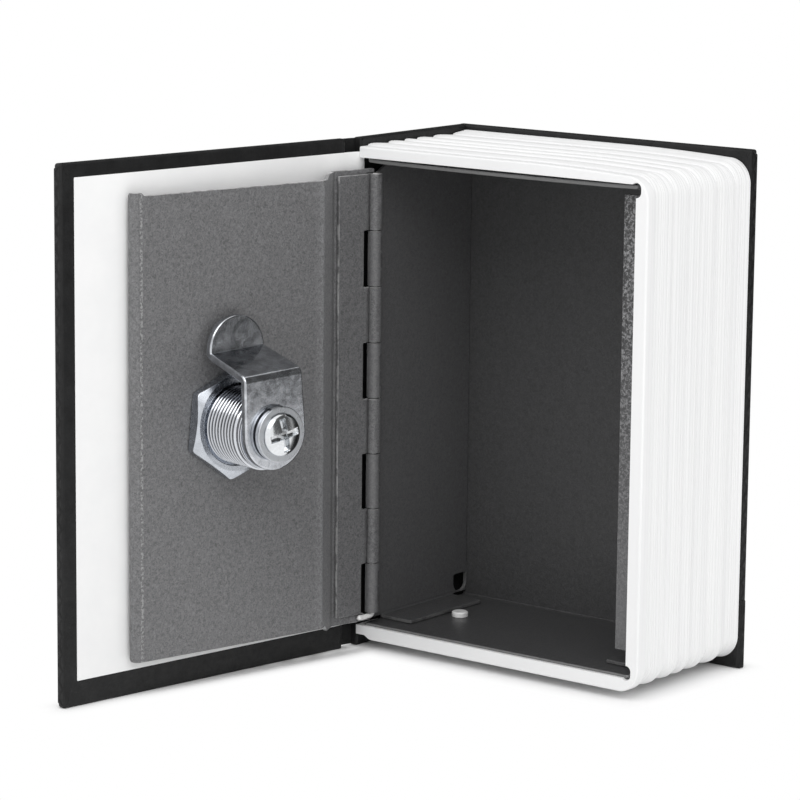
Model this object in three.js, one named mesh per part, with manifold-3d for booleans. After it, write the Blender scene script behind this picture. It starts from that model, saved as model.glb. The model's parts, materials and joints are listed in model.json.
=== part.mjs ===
// Book diversion safe: a hollow book whose page block holds a small steel cash box with a cam lock.
// Millimetres, Z up. Everything is laid out for the closed book: x runs from the outside of the spine
// to the fore edge, y from the outside of the front cover to the outside of the back cover.
// The origin of the finished part is the middle of the back cover's bottom edge.
import * as THREE from 'three';
import { mergeVertices } from 'three/addons/utils/BufferGeometryUtils.js';
import Module from 'manifold-3d';

const wasm = await Module();
wasm.setup();

// Book case
const book_width = 81.35;
const book_thickness = 44.95;
const book_height = 118;
const cover_thickness = 2.3;
const cover_corner_radius = 1.3;
const wrap_thickness = 0.35;
const layer_gap = 0.25;
const border_width = 4.6;
const endpaper_proud = 0.1;
const back_endpaper_start = 6;
const spine_turn_in = 12;
const spine_front = 3.4;
const joint_edge = 1;
const cover_pivot_x = -0.2;
const cover_pivot_y = 0.3;
const cover_open_angle = 99.16;

// Page block
const spine_clearance = 0.3;
const cover_clearance = 0.25;
const back_clearance = 0.2;
const block_inset_bottom = 2.1;
const block_inset_top = 1.5;
const block_inset_fore = 0;
const block_corner_radius = 5.5;
const block_droop = 0.8;
const block_droop_reach = 28;
const block_wall_left = 1.5;
const block_wall_right = 3.4;
const block_wall_top = 2.9;
const block_wall_bottom = 2.7;
const rim_lip_height = 0.45;
const rim_lip_depth = 0.85;
const ear_radius = 1.3;
const ear_drop = 0.4;
const ear_rise = 1.6;
const ear_depth = 5;
const spine_wall_setback = 5.5;
const rib_depth = 0.6;
const foot_rib_depth = 0.9;
const last_rib_rise = 0.45;
const rib_shares = [0.073, 0.261, 0.409, 0.525, 0.68, 0.868, 1.15];
const rib_lean = 0.45;
const rib_steps = 6;
const corner_steps = 7;

// Steel box
const sheet = 0.9;
const seat_gap = 0.1;
const tab_width = 8.6;
const tab_setback = 6.35;
const tab_back_inset = 5.4;
const slot_height = 4.7;
const slot_lift = 0.9;
const slot_margin = 1.2;
const lip_reach = 6;
const lip_setback = 6.05;
const lip_gap_bottom = 3.8;
const lip_gap_top = 2.1;
const side_edge_relief = 1.9;
const rivet_x = 17.6;
const rivet_y = 22.5;
const rivet_shank_radius = 1.2;
const rivet_head_radius = 1.9;
const rivet_head_height = 1.1;
const rivet_tail_height = 0.6;

// Hinge
const knuckle_radius = 1.6;
const knuckle_bore_radius = 0.8;
const knuckle_count = 8;
const knuckle_gap = 0.2;
const knuckle_lift = 1.5;
const knuckle_drop = 2.5;
const hinge_setback = 1.55;
const hinge_side_gap = 0.15;
const pin_radius = 0.7;
const pin_end = 0.3;
const pin_foot_length = 4.2;
const pin_foot_radius = 0.5;
const pin_foot_gap = 0.15;
const leaf_outer = -0.5;
const leaf_reach = 10.6;
const leaf_notch = 2.5;

// Door
const door_open_angle = 102.5;
const door_layer_gap = 0.15;
const door_panel_depth = 4.2;
const door_strip_end = 11.6;
const door_panel_start = 18.1;
const door_panel_end = 69.3;
const door_panel_bottom_gap = 2.1;
const door_panel_top_gap = 2.5;
const door_strip_extra = 1.4;
const door_strip_start = 1.95;
const door_ear_gap = 0.2;
const door_ear_start = -0.3;
const door_flange = 1.6;
const door_bend_radius = 1.2;
const door_corner_radius = 0.8;

// Cam lock
const lock_reach = 43.9;
const lock_height = 58.7;
const lock_turn = 3;
const lock_gap = 0.2;
const lock_fit = 0.3;
const head_radius = 10.5;
const head_thickness = 3.1;
const head_chamfer = 0.7;
const thread_radius = 8.65;
const thread_depth = 0.45;
const thread_pitch = 1.0;
const thread_turns = 9;
const nut_flats = 22;
const nut_thickness = 3;
const nut_chamfer = 0.9;
const nut_turn = 9;
const collar_radius = 8.3;
const collar_length = 1.3;
const plug_radius = 5.2;
const plug_recess = 0.3;
const keyway_width = 1.1;
const keyway_height = 6.4;
const keyway_depth = 13;
const wafer_count = 4;
const wafer_pitch = 2.6;
const wafer_first = 3.4;
const wafer_thickness = 1.0;
const wafer_width = 6;
const wafer_window_height = 4.2;
const wafer_window_width = 2.6;
const wafer_notch_height = 3.4;
const wafer_notch_width = 1.5;
const spring_radius = 0.45;
const spring_wire_radius = 0.14;
const spring_turns = 4;
const spring_height = 2.7;
const post_width = 6;
const stop_washer_thickness = 0.5;
const cam_thickness = 1.7;
const cam_foot_radius = 8.1;
const cam_tip_radius = 7.2;
const cam_bend_start = 12.6;
const cam_bend_end = 16.1;
const cam_bend_share = 0.75;
const cam_length = 24.3;
const cam_offset = 12.7;
const washer_radius = 6.1;
const washer_hole_radius = 2;
const washer_thickness = 0.65;
const split_width = 0.6;
const screw_radius = 1.45;
const screw_length = 7;
const screw_head_radius = 4.7;
const screw_head_height = 1.9;
const screw_head_edge = 0.6;
const recess_span = 4.6;
const recess_width = 1.0;
const recess_depth = 1.2;

// Facets and cutting
const overrun = 1;
const fine_facets = 32;
const small_facets = 16;

// Places worked out from the sizes above
const block_left = cover_thickness + spine_clearance;
const block_right = book_width - block_inset_fore;
const block_front = cover_thickness + cover_clearance;
const block_back = book_thickness - cover_thickness - back_clearance;
const block_bottom = block_inset_bottom;
const block_top = book_height - block_inset_top;
const box_left = block_left + block_wall_left + seat_gap;
const box_right = block_right - block_wall_right - seat_gap;
const box_front = block_front + rim_lip_depth + seat_gap;
const box_back = block_back - seat_gap;
const box_bottom = block_bottom + block_wall_bottom + seat_gap;
const box_top = block_top - block_wall_top - seat_gap;
const floor_top = box_bottom + sheet;
const ceiling = box_top - sheet;
const back_wall_front = box_back - sheet;
const side_bottom = floor_top + seat_gap;
const side_top = ceiling - seat_gap;
const side_back = back_wall_front - seat_gap;
const hinge_x = box_left + hinge_side_gap + knuckle_radius;
const hinge_y = block_front + hinge_setback;
const hinge_bottom = floor_top + knuckle_lift;
const hinge_top = ceiling - knuckle_drop;
const knuckle_length = (hinge_top - hinge_bottom) / knuckle_count;
const leaf_inner = leaf_outer + sheet;
const strip_inner = leaf_outer - door_layer_gap;
const strip_outer = strip_inner - sheet;
const panel_bottom = floor_top + door_panel_bottom_gap;
const panel_top = ceiling - door_panel_top_gap;
const strip_bottom = panel_bottom - door_strip_extra;
const strip_top = panel_top + door_strip_extra;
const panel_outer = door_panel_depth - sheet;
const nut_back = door_panel_depth + lock_gap;
const nut_front = nut_back + nut_thickness;
const head_back = panel_outer - lock_gap;
const head_front = head_back - head_thickness;
const thread_end = nut_front + thread_turns * thread_pitch + thread_pitch / 2;
const collar_end = thread_end + collar_length;
const stop_washer_start = collar_end + lock_gap;
const cam_start = stop_washer_start + stop_washer_thickness + lock_gap;
const cam_end = cam_start + cam_thickness;
const split_washer_start = cam_end + lock_gap;
const flat_washer_start = split_washer_start + washer_thickness + lock_gap;
const screw_seat = flat_washer_start + washer_thickness + lock_gap;
const wafer_corner_radius = plug_radius - lock_gap / 2;
const wafer_height = 2 * Math.sqrt(wafer_corner_radius ** 2 - (wafer_width / 2) ** 2);

// Colours and surfaces
const leatherette = { color: 0x262626, roughness: 0.62, metalness: 0 };
const greyboard = { color: 0x8a8478, roughness: 0.9, metalness: 0 };
const paper = { color: 0xf4f4f2, roughness: 0.45, metalness: 0 };
const page_plastic = { color: 0xf2f2f0, roughness: 0.5, metalness: 0 };
const grey_paint = { color: 0x5c5c5e, roughness: 0.45, metalness: 0.1 };
const zinc = { color: 0xc8cbd0, roughness: 0.2, metalness: 1 };
const rivet_metal = { color: 0xd2d2d2, roughness: 0.4, metalness: 0.7 };
const brass = { color: 0xc9a75a, roughness: 0.3, metalness: 1 };
const spring_steel = { color: 0x9a9da2, roughness: 0.3, metalness: 1 };

// A closed geometry becomes a solid that can be joined and cut.
function solid(geometry) {
  const bare = geometry.clone();
  bare.deleteAttribute('normal');
  bare.deleteAttribute('uv');
  const merged = mergeVertices(bare);
  const vertProperties = new Float32Array(merged.attributes.position.array);
  const triVerts = new Uint32Array(merged.index.array);
  return new wasm.Manifold(new wasm.Mesh({ numProp: 3, vertProperties, triVerts }));
}

// A named mesh from a solid.
function piece(name, body, finish) {
  const { vertProperties, triVerts } = body.getMesh();
  const geometry = new THREE.BufferGeometry();
  geometry.setAttribute('position', new THREE.BufferAttribute(new Float32Array(vertProperties), 3));
  geometry.setIndex(new THREE.BufferAttribute(new Uint32Array(triVerts), 1));
  geometry.computeVertexNormals();
  const mesh = new THREE.Mesh(geometry, new THREE.MeshStandardMaterial(finish));
  mesh.name = name;
  return mesh;
}

// A box between two values on each axis.
function block(x0, x1, y0, y1, z0, z1) {
  const geometry = new THREE.BoxGeometry(x1 - x0, y1 - y0, z1 - z0);
  geometry.translate((x0 + x1) / 2, (y0 + y1) / 2, (z0 + z1) / 2);
  return solid(geometry);
}

// An outline in x and y, drawn up from z0 to z1.
function prism_z(shape, z0, z1) {
  const settings = { depth: z1 - z0, bevelEnabled: false, curveSegments: corner_steps };
  const geometry = new THREE.ExtrudeGeometry(shape, settings);
  geometry.translate(0, 0, z0);
  return solid(geometry);
}

// An outline in x and z, drawn from y0 to y1.
function prism_y(shape, y0, y1, steps = corner_steps) {
  const settings = { depth: y1 - y0, bevelEnabled: false, curveSegments: steps };
  const geometry = new THREE.ExtrudeGeometry(shape, settings);
  const right = new THREE.Vector3(1, 0, 0);
  const up = new THREE.Vector3(0, 0, 1);
  const towards = new THREE.Vector3(0, -1, 0);
  geometry.applyMatrix4(new THREE.Matrix4().makeBasis(right, up, towards));
  geometry.translate(0, y1, 0);
  return solid(geometry);
}

// An outline in y and z, drawn from x0 to x1.
function prism_x(shape, x0, x1) {
  const settings = { depth: x1 - x0, bevelEnabled: false, curveSegments: corner_steps };
  const geometry = new THREE.ExtrudeGeometry(shape, settings);
  const right = new THREE.Vector3(0, 1, 0);
  const up = new THREE.Vector3(0, 0, 1);
  const towards = new THREE.Vector3(1, 0, 0);
  geometry.applyMatrix4(new THREE.Matrix4().makeBasis(right, up, towards));
  geometry.translate(x0, 0, 0);
  return solid(geometry);
}

// A profile of radius and y, turned about the y axis.
function turned(profile, facets = fine_facets) {
  const points = profile.map(([r, y]) => new THREE.Vector2(r, y));
  const first = points[0];
  const last = points[points.length - 1];
  if (first.x > 0 || last.x > 0) points.push(first.clone());
  return solid(new THREE.LatheGeometry(points, facets));
}

// A cylinder along z.
function rod_z(x, y, radius, z0, z1, facets = small_facets) {
  const geometry = new THREE.CylinderGeometry(radius, radius, z1 - z0, facets);
  geometry.applyMatrix4(new THREE.Matrix4().makeBasis(
    new THREE.Vector3(1, 0, 0), new THREE.Vector3(0, 0, 1), new THREE.Vector3(0, -1, 0)));
  geometry.translate(x, y, (z0 + z1) / 2);
  return solid(geometry);
}

// A cylinder along y.
function rod_y(x, z, radius, y0, y1, facets = small_facets) {
  const geometry = new THREE.CylinderGeometry(radius, radius, y1 - y0, facets);
  geometry.translate(x, (y0 + y1) / 2, z);
  return solid(geometry);
}

// A closed outline from a list of corners.
function outline(corners) {
  return new THREE.Shape(corners.map(([x, y]) => new THREE.Vector2(x, y)));
}

// A rectangle whose right-hand corners are rounded.
function cover_outline(x0, x1, z0, z1, radius) {
  const shape = new THREE.Shape();
  shape.moveTo(x0, z0);
  shape.lineTo(x1 - radius, z0);
  shape.absarc(x1 - radius, z0 + radius, radius, -Math.PI / 2, 0);
  shape.lineTo(x1, z1 - radius);
  shape.absarc(x1 - radius, z1 - radius, radius, 0, Math.PI / 2);
  shape.lineTo(x0, z1);
  shape.closePath();
  return shape;
}

// A circle as an outline.
function circle(x, y, radius) {
  const shape = new THREE.Shape();
  shape.absarc(x, y, radius, 0, 2 * Math.PI);
  return shape;
}

// Covers. Each is a board wrapped in leatherette that is turned in round its edges, with a white
// endpaper in the frame of the turn-ins. Both covers are drawn lying on their outer face at y = 0.
const board_start = wrap_thickness + layer_gap;
const board_end = cover_thickness - wrap_thickness - layer_gap;
const edge_inset = wrap_thickness + layer_gap;

function cover_wrap(x0, left_reach) {
  const edge = cover_outline(x0, book_width, 0, book_height, cover_corner_radius);
  const skin = prism_y(edge, 0, cover_thickness);
  const pocket = block(x0 + left_reach, book_width - wrap_thickness, wrap_thickness,
    cover_thickness - wrap_thickness, wrap_thickness, book_height - wrap_thickness);
  const frame = block(x0 + left_reach, book_width - border_width, wrap_thickness,
    cover_thickness + overrun, border_width, book_height - border_width);
  return skin.subtract(pocket).subtract(frame);
}

function cover_board(x0) {
  return block(x0, book_width - edge_inset, board_start, board_end, edge_inset, book_height - edge_inset);
}

function cover_endpaper(x0) {
  return block(x0, book_width - border_width - layer_gap, board_end + layer_gap,
    cover_thickness + endpaper_proud, border_width + layer_gap, book_height - border_width - layer_gap);
}

function front_cover() {
  const group = new THREE.Group();
  group.add(piece('front_cover_wrap', cover_wrap(joint_edge, -overrun), leatherette));
  group.add(piece('front_board', cover_board(joint_edge + layer_gap), greyboard));
  group.add(piece('front_endpaper', cover_endpaper(joint_edge + cover_thickness), paper));
  return group;
}

// The back cover is the same, mirrored so that its outer face is the far one.
function flip_y(body) {
  return body.mirror([0, 1, 0]).translate([0, book_thickness, 0]);
}

function back_cover() {
  const group = new THREE.Group();
  group.add(piece('back_cover_wrap', flip_y(cover_wrap(0, wrap_thickness)), leatherette));
  group.add(piece('back_board', flip_y(cover_board(edge_inset)), greyboard));
  group.add(piece('back_endpaper', flip_y(cover_endpaper(back_endpaper_start)), paper));
  return group;
}

// Spine: a narrow board in the same leatherette, open along both long edges.
function spine() {
  const group = new THREE.Group();
  const back = book_thickness - cover_thickness - seat_gap;
  const skin = block(0, cover_thickness, spine_front, back, 0, book_height);
  const pocket = block(wrap_thickness, cover_thickness - wrap_thickness,
    spine_front - overrun, back + overrun, wrap_thickness, book_height - wrap_thickness);
  const frame = block(wrap_thickness, cover_thickness + overrun,
    spine_front - overrun, back + overrun, spine_turn_in, book_height - spine_turn_in);
  group.add(piece('spine_wrap', skin.subtract(pocket).subtract(frame), leatherette));
  const board = block(board_start, board_end, spine_front + layer_gap, back - layer_gap,
    edge_inset, book_height - edge_inset);
  group.add(piece('spine_board', board, greyboard));
  return group;
}

// A point of the closed front cover, where it lies once the cover has swung open.
function on_open_cover(x, y) {
  const turn = THREE.MathUtils.degToRad(-cover_open_angle);
  const pivot = new THREE.Vector2(cover_pivot_x, cover_pivot_y);
  const point = new THREE.Vector2(x, y).rotateAround(pivot, turn);
  return [point.x, point.y];
}

// The flexible joint: a strip of leatherette outside and the hinge of the endpaper inside.
function joints_of_cloth_and_paper() {
  const group = new THREE.Group();
  const cloth = outline([
    [0, spine_front - seat_gap],
    on_open_cover(joint_edge - seat_gap, 0),
    on_open_cover(joint_edge - seat_gap, wrap_thickness),
    [wrap_thickness, spine_front - seat_gap],
  ]);
  const cloth_inset = wrap_thickness;
  group.add(piece('joint_cloth', prism_z(cloth, cloth_inset, book_height - cloth_inset), leatherette));
  const fold_left = cover_thickness + seat_gap / 2;
  const fold_right = block_left - seat_gap / 2;
  const fold = outline([
    on_open_cover(joint_edge + cover_thickness - seat_gap, cover_thickness - fold_right + fold_left),
    on_open_cover(joint_edge + cover_thickness - seat_gap, cover_thickness),
    [fold_right, spine_front],
    [fold_right, block_front + spine_wall_setback],
    [fold_left, block_front + spine_wall_setback],
    [fold_left, spine_front],
  ]);
  const fold_inset = border_width + layer_gap;
  group.add(piece('joint_endpaper', prism_z(fold, fold_inset, book_height - fold_inset), paper));
  return group;
}

// Page block. Its outside steps in between ribs, like gatherings of pages. A rib leans: on the
// block's top it is highest near its front, and underneath it is lowest near its back.
function leaning_rib(share) {
  return 1 - Math.sin(Math.PI * share ** rib_lean);
}

function rib_stations() {
  const depth = block_back - block_front;
  const stations = [[block_front, rib_depth, 0, 0], [block_front + rib_shares[0] * depth, rib_depth, 0, 0]];
  for (let rib = 1; rib < rib_shares.length; rib += 1) {
    const start = rib_shares[rib - 1];
    const span = Math.min(1, rib_shares[rib]) - start;
    const whole = rib_shares[rib] - start;
    const rise = rib === rib_shares.length - 1 ? last_rib_rise : 0;
    for (let step = 1; step <= rib_steps; step += 1) {
      const reach = (span * (1 - Math.cos((Math.PI * step) / rib_steps))) / 2;
      const share = reach / whole;
      stations.push([block_front + (start + reach) * depth, rib_depth * leaning_rib(share),
        foot_rib_depth * leaning_rib(1 - share), rise * (reach / span) ** 2]);
    }
  }
  return stations;
}

// The outline at one depth. Between them the two sinks blend round the corners and the fore edge,
// and the rise lifts the whole outline, the fore edge half as much.
function block_ring(y, top_fall, bottom_fall, rise) {
  const top_sink = top_fall - rise;
  const bottom_sink = bottom_fall - rise;
  const radius = block_corner_radius;
  const corner_x = block_right - radius;
  const ring = [[block_left, y, block_bottom + bottom_sink]];
  const corner = (turn, corner_z) => {
    const share = (1 + Math.sin(turn)) / 2;
    const reach = radius - top_sink * share - bottom_sink * (1 - share) - (rise * Math.cos(turn) ** 2) / 2;
    ring.push([corner_x + reach * Math.cos(turn), y, corner_z + reach * Math.sin(turn)]);
  };
  for (let step = 0; step <= corner_steps; step += 1) {
    corner((Math.PI / 2) * (step / corner_steps - 1), block_bottom + radius);
  }
  for (let step = 0; step <= corner_steps; step += 1) {
    corner((Math.PI / 2) * (step / corner_steps), block_top - block_droop - radius);
  }
  ring.push([corner_x - block_droop_reach, y, block_top - top_sink]);
  ring.push([block_left, y, block_top - top_sink]);
  return ring;
}

// A notch at a corner of the mouth, round at both ends.
function mouth_ear(z0, z1) {
  const ear_x = block_right - block_wall_right;
  const front = block_front - overrun;
  const back = block_front + ear_depth;
  return rod_y(ear_x, z0, ear_radius, front, back)
    .add(rod_y(ear_x, z1, ear_radius, front, back))
    .add(block(ear_x - ear_radius, ear_x + ear_radius, front, back, z0, z1));
}

function ribbed_block() {
  const rings = rib_stations().map((station) => block_ring(...station));
  const size = rings[0].length;
  const index = [];
  for (let row = 0; row + 1 < rings.length; row += 1) {
    for (let column = 0; column < size; column += 1) {
      const a = row * size + column;
      const b = row * size + ((column + 1) % size);
      index.push(a, b, a + size, b, b + size, a + size);
    }
  }
  const last = (rings.length - 1) * size;
  for (let column = 1; column + 1 < size; column += 1) {
    index.push(0, column + 1, column);
    index.push(last, last + column, last + column + 1);
  }
  const geometry = new THREE.BufferGeometry();
  geometry.setAttribute('position', new THREE.Float32BufferAttribute(rings.flat(2), 3));
  geometry.setIndex(index.map((_, i) => index[i - (i % 3) + (2 - (i % 3))]));
  return solid(geometry);
}

function page_block() {
  const mouth_bottom = block_bottom + block_wall_bottom + rim_lip_height;
  const mouth_top = block_top - block_wall_top;
  const cavity = block(block_left + block_wall_left, block_right - block_wall_right,
    block_front + rim_lip_depth, block_back + overrun,
    block_bottom + block_wall_bottom, mouth_top);
  const mouth = block(block_left - overrun, block_right - block_wall_right,
    block_front - overrun, block_front + rim_lip_depth + overrun,
    mouth_bottom, mouth_top);
  const spine_side = block(block_left - overrun, block_left + block_wall_left + overrun,
    block_front - overrun, block_front + spine_wall_setback,
    mouth_bottom, mouth_top);
  const low_ear = mouth_ear(mouth_bottom - ear_drop + ear_radius, mouth_bottom + ear_rise);
  const high_ear = mouth_ear(mouth_top - ear_rise, mouth_top + ear_drop - ear_radius);
  const slot_notch = block(block_left - overrun, block_left + block_wall_left + overrun,
    tab_back - slot_margin, block_back + overrun,
    side_bottom + slot_lift - slot_margin, side_bottom + slot_lift + slot_height + slot_margin);
  const hole_radius = rivet_shank_radius + seat_gap;
  const rivet_hole = rod_z(rivet_x, rivet_y, hole_radius, block_bottom - overrun, box_bottom);
  const tail_pocket = rod_z(rivet_x, rivet_y, rivet_head_radius + seat_gap,
    block_bottom - overrun, block_bottom + rib_depth + rivet_tail_height + seat_gap);
  return ribbed_block().subtract(cavity).subtract(mouth).subtract(spine_side)
    .subtract(low_ear).subtract(high_ear).subtract(slot_notch)
    .subtract(rivet_hole).subtract(tail_pocket);
}

// Steel box: a bent tray for floor, back and top, and a side plate at each end.
function box_tray() {
  const profile = outline([
    [box_front, box_bottom],
    [box_back, box_bottom],
    [box_back, box_top],
    [box_front, box_top],
    [box_front, ceiling],
    [back_wall_front, ceiling],
    [back_wall_front, floor_top],
    [box_front, floor_top],
  ]);
  const hole_radius = rivet_shank_radius + seat_gap;
  const hole = rod_z(rivet_x, rivet_y, hole_radius, box_bottom - overrun, floor_top + overrun);
  return prism_x(profile, box_left, box_right).subtract(hole);
}

function knuckle_span(number) {
  const start = hinge_bottom + number * knuckle_length;
  return [start + knuckle_gap / 2, start + knuckle_length - knuckle_gap / 2];
}

function knuckle_ring(number, x, y) {
  const [z0, z1] = knuckle_span(number);
  const shape = circle(x, y, knuckle_radius);
  const settings = { depth: z1 - z0, bevelEnabled: false, curveSegments: small_facets };
  const geometry = new THREE.ExtrudeGeometry(shape, settings);
  geometry.translate(0, 0, z0);
  return solid(geometry);
}

function knuckle_bore(x, y) {
  return rod_z(x, y, knuckle_bore_radius, hinge_bottom - overrun,
    hinge_top + overrun);
}

const tab_front = block_front + tab_setback;
const tab_back = side_back - tab_back_inset;

function side_tabs(x0, x1) {
  const bottom = block(x0, x1, tab_front, tab_back, side_bottom, side_bottom + sheet);
  const top = block(x0, x1, tab_front, tab_back, side_top - sheet, side_top);
  return bottom.add(top);
}

function hinge_side() {
  const left = hinge_x - knuckle_radius;
  const plate_front = hinge_y + side_edge_relief;
  let body = block(left, left + sheet, plate_front, side_back, side_bottom, side_top);
  for (let number = 0; number < knuckle_count; number += 2) {
    const [z0, z1] = knuckle_span(number);
    body = body.add(block(left, left + sheet, hinge_y, plate_front + overrun, z0, z1));
    body = body.add(knuckle_ring(number, hinge_x, hinge_y));
  }
  body = body.subtract(knuckle_bore(hinge_x, hinge_y));
  const slot = block(left - overrun, left + sheet + overrun, tab_back, side_back + overrun,
    side_bottom + slot_lift, side_bottom + slot_lift + slot_height);
  return body.subtract(slot).add(side_tabs(left, left + sheet + tab_width));
}

function lock_side() {
  const right = box_right - seat_gap;
  const front = block_front + lip_setback;
  const plate = block(right - sheet, right, front, side_back, side_bottom, side_top);
  const lip = block(right - sheet - lip_reach, right, front, front + sheet,
    floor_top + lip_gap_bottom, ceiling - lip_gap_top);
  const notch_low = block(right - sheet - overrun, right + overrun, front - overrun, tab_front,
    side_bottom - overrun, floor_top + lip_gap_bottom);
  const notch_high = block(right - sheet - overrun, right + overrun, front - overrun, tab_front,
    ceiling - lip_gap_top, side_top + overrun);
  return plate.add(lip).subtract(notch_low).subtract(notch_high)
    .add(side_tabs(right - sheet - tab_width, right));
}

// Rivet through floor and page block. Its profile is turned about y, then stood up.
function floor_rivet() {
  const head_seat = floor_top + seat_gap;
  const tail_seat = block_bottom + rib_depth + rivet_tail_height;
  const profile = [
    [0, tail_seat - rivet_tail_height],
    [rivet_head_radius, tail_seat - rivet_tail_height],
    [rivet_head_radius, tail_seat],
    [rivet_shank_radius, tail_seat],
    [rivet_shank_radius, head_seat],
    [rivet_head_radius, head_seat],
    [rivet_head_radius, head_seat + rivet_head_height / 2],
    [rivet_shank_radius, head_seat + rivet_head_height],
    [0, head_seat + rivet_head_height],
  ];
  return turned(profile, small_facets).rotate([90, 0, 0]).translate([rivet_x, rivet_y, 0]);
}

// Door, drawn about the hinge axis: x is the reach from the axis, y the depth into the box.
function door_profile() {
  const end = door_panel_end;
  const bend = door_bend_radius;
  const flange_tip = panel_outer - door_flange;
  const shape = new THREE.Shape();
  shape.moveTo(door_ear_start, strip_outer);
  shape.lineTo(door_strip_end, strip_outer);
  shape.lineTo(door_panel_start, panel_outer);
  shape.lineTo(end - sheet, panel_outer);
  shape.lineTo(end - sheet, flange_tip);
  shape.lineTo(end, flange_tip);
  shape.lineTo(end, door_panel_depth - bend);
  shape.absarc(end - bend, door_panel_depth - bend, bend, 0, Math.PI / 2);
  shape.lineTo(door_panel_start - sheet / 2, door_panel_depth);
  shape.lineTo(door_strip_end - sheet / 2, strip_inner);
  shape.lineTo(door_ear_start, strip_inner);
  shape.closePath();
  return shape;
}

function door_outline() {
  const radius = door_corner_radius;
  const ear_low = hinge_bottom - door_ear_gap;
  const ear_high = hinge_top + door_ear_gap;
  const jog = (door_strip_end + door_panel_start) / 2;
  const shape = new THREE.Shape();
  shape.moveTo(door_ear_start, strip_bottom);
  shape.lineTo(door_strip_end, strip_bottom);
  shape.lineTo(jog, panel_bottom);
  shape.lineTo(door_panel_end - radius, panel_bottom);
  shape.absarc(door_panel_end - radius, panel_bottom + radius, radius, -Math.PI / 2, 0);
  shape.absarc(door_panel_end - radius, panel_top - radius, radius, 0, Math.PI / 2);
  shape.lineTo(jog, panel_top);
  shape.lineTo(door_strip_end, strip_top);
  shape.lineTo(door_ear_start, strip_top);
  shape.lineTo(door_ear_start, ear_high);
  shape.lineTo(door_strip_start, ear_high);
  shape.lineTo(door_strip_start, ear_low);
  shape.lineTo(door_ear_start, ear_low);
  shape.closePath();
  return shape;
}

function hinge_notches(y0, y1) {
  let cuts = null;
  for (let number = 0; number < knuckle_count; number += 2) {
    const [z0, z1] = knuckle_span(number);
    const cut = block(door_ear_start - overrun, leaf_notch, y0, y1, z0 - knuckle_gap, z1 + knuckle_gap);
    cuts = cuts ? cuts.add(cut) : cut;
  }
  return cuts;
}

function door_panel() {
  const bent = prism_z(door_profile(), strip_bottom - overrun, strip_top + overrun);
  const cut_out = prism_y(door_outline(), strip_outer - overrun, door_panel_depth + overrun);
  const lock_hole = rod_y(lock_reach, lock_height, thread_radius + lock_fit,
    panel_outer - overrun, door_panel_depth + overrun, fine_facets);
  return bent.intersect(cut_out).subtract(hinge_notches(strip_outer - overrun, strip_inner + overrun))
    .subtract(lock_hole);
}

function hinge_leaf() {
  const z0 = hinge_bottom;
  const z1 = hinge_top;
  let body = block(knuckle_bore_radius, leaf_reach, leaf_outer, leaf_inner, z0, z1);
  body = body.subtract(hinge_notches(leaf_outer - overrun, leaf_inner + overrun));
  for (let number = 1; number < knuckle_count; number += 2) {
    body = body.add(knuckle_ring(number, 0, 0));
  }
  return body.subtract(knuckle_bore(0, 0));
}

// The pin is bent over under the lowest knuckle so that it can't climb out.
function hinge_pin() {
  const foot_height = hinge_bottom - pin_foot_gap - pin_foot_radius;
  const shaft = rod_z(0, 0, pin_radius, foot_height - pin_foot_radius,
    hinge_top + pin_end);
  const foot = new THREE.CylinderGeometry(pin_foot_radius, pin_foot_radius, pin_foot_length, small_facets);
  foot.rotateZ(-Math.PI / 2);
  foot.translate(pin_foot_length / 2, 0, foot_height);
  return shaft.add(solid(foot));
}

// Cam lock, drawn about its own axis: y is the depth into the box, z is up.
function lock_housing() {
  const crest = thread_radius;
  const root = thread_radius - thread_depth;
  const bore = plug_radius + lock_fit;
  const profile = [
    [bore, head_front],
    [head_radius - head_chamfer, head_front],
    [head_radius, head_front + head_chamfer],
    [head_radius, head_back],
    [crest, head_back],
    [crest, nut_front],
  ];
  for (let turn = 0; turn < thread_turns; turn += 1) {
    const start = nut_front + turn * thread_pitch;
    profile.push([root, start + thread_pitch / 2]);
    profile.push([crest, start + thread_pitch]);
  }
  profile.push([root, thread_end]);
  profile.push([collar_radius, thread_end + thread_depth / 2]);
  profile.push([collar_radius, collar_end]);
  profile.push([bore, collar_end]);
  return turned(profile);
}

function lock_nut() {
  const corner = nut_flats / 2 / Math.cos(Math.PI / 6);
  const corners = [];
  for (let side = 0; side < 6; side += 1) {
    const turn = THREE.MathUtils.degToRad(nut_turn) + Math.PI / 6 + (side * Math.PI) / 3;
    corners.push([corner * Math.cos(turn), corner * Math.sin(turn)]);
  }
  const prism = prism_y(outline(corners), nut_back, nut_front);
  const dome = turned([
    [0, nut_back],
    [corner, nut_back],
    [corner, nut_front - nut_chamfer],
    [corner - nut_chamfer, nut_front],
    [0, nut_front],
  ]);
  const bore = rod_y(0, 0, thread_radius + lock_fit, nut_back - overrun, nut_front + overrun, fine_facets);
  return prism.intersect(dome).subtract(bore);
}

function wafer_place(number) {
  return head_front + wafer_first + number * wafer_pitch;
}

function lock_plug() {
  const front = head_front + plug_recess;
  const barrel = turned([[0, front], [plug_radius, front], [plug_radius, collar_end], [0, collar_end]]);
  const half = post_width / 2;
  const post = block(-half, half, collar_end - overrun, cam_end - lock_gap, -half, half);
  const screw_hole = rod_y(0, 0, screw_radius + lock_gap, cam_end - screw_length, cam_end + overrun);
  const keyway = block(-keyway_width / 2, keyway_width / 2, front - overrun, front + keyway_depth,
    -keyway_height / 2, keyway_height / 2);
  let body = barrel.add(post).subtract(screw_hole).subtract(keyway);
  for (let number = 0; number < wafer_count; number += 1) {
    const y = wafer_place(number);
    body = body.subtract(block(-wafer_width / 2 - lock_fit, wafer_width / 2 + lock_fit,
      y - lock_fit, y + wafer_thickness + lock_fit, -plug_radius - overrun, plug_radius + overrun));
  }
  return body;
}

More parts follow.
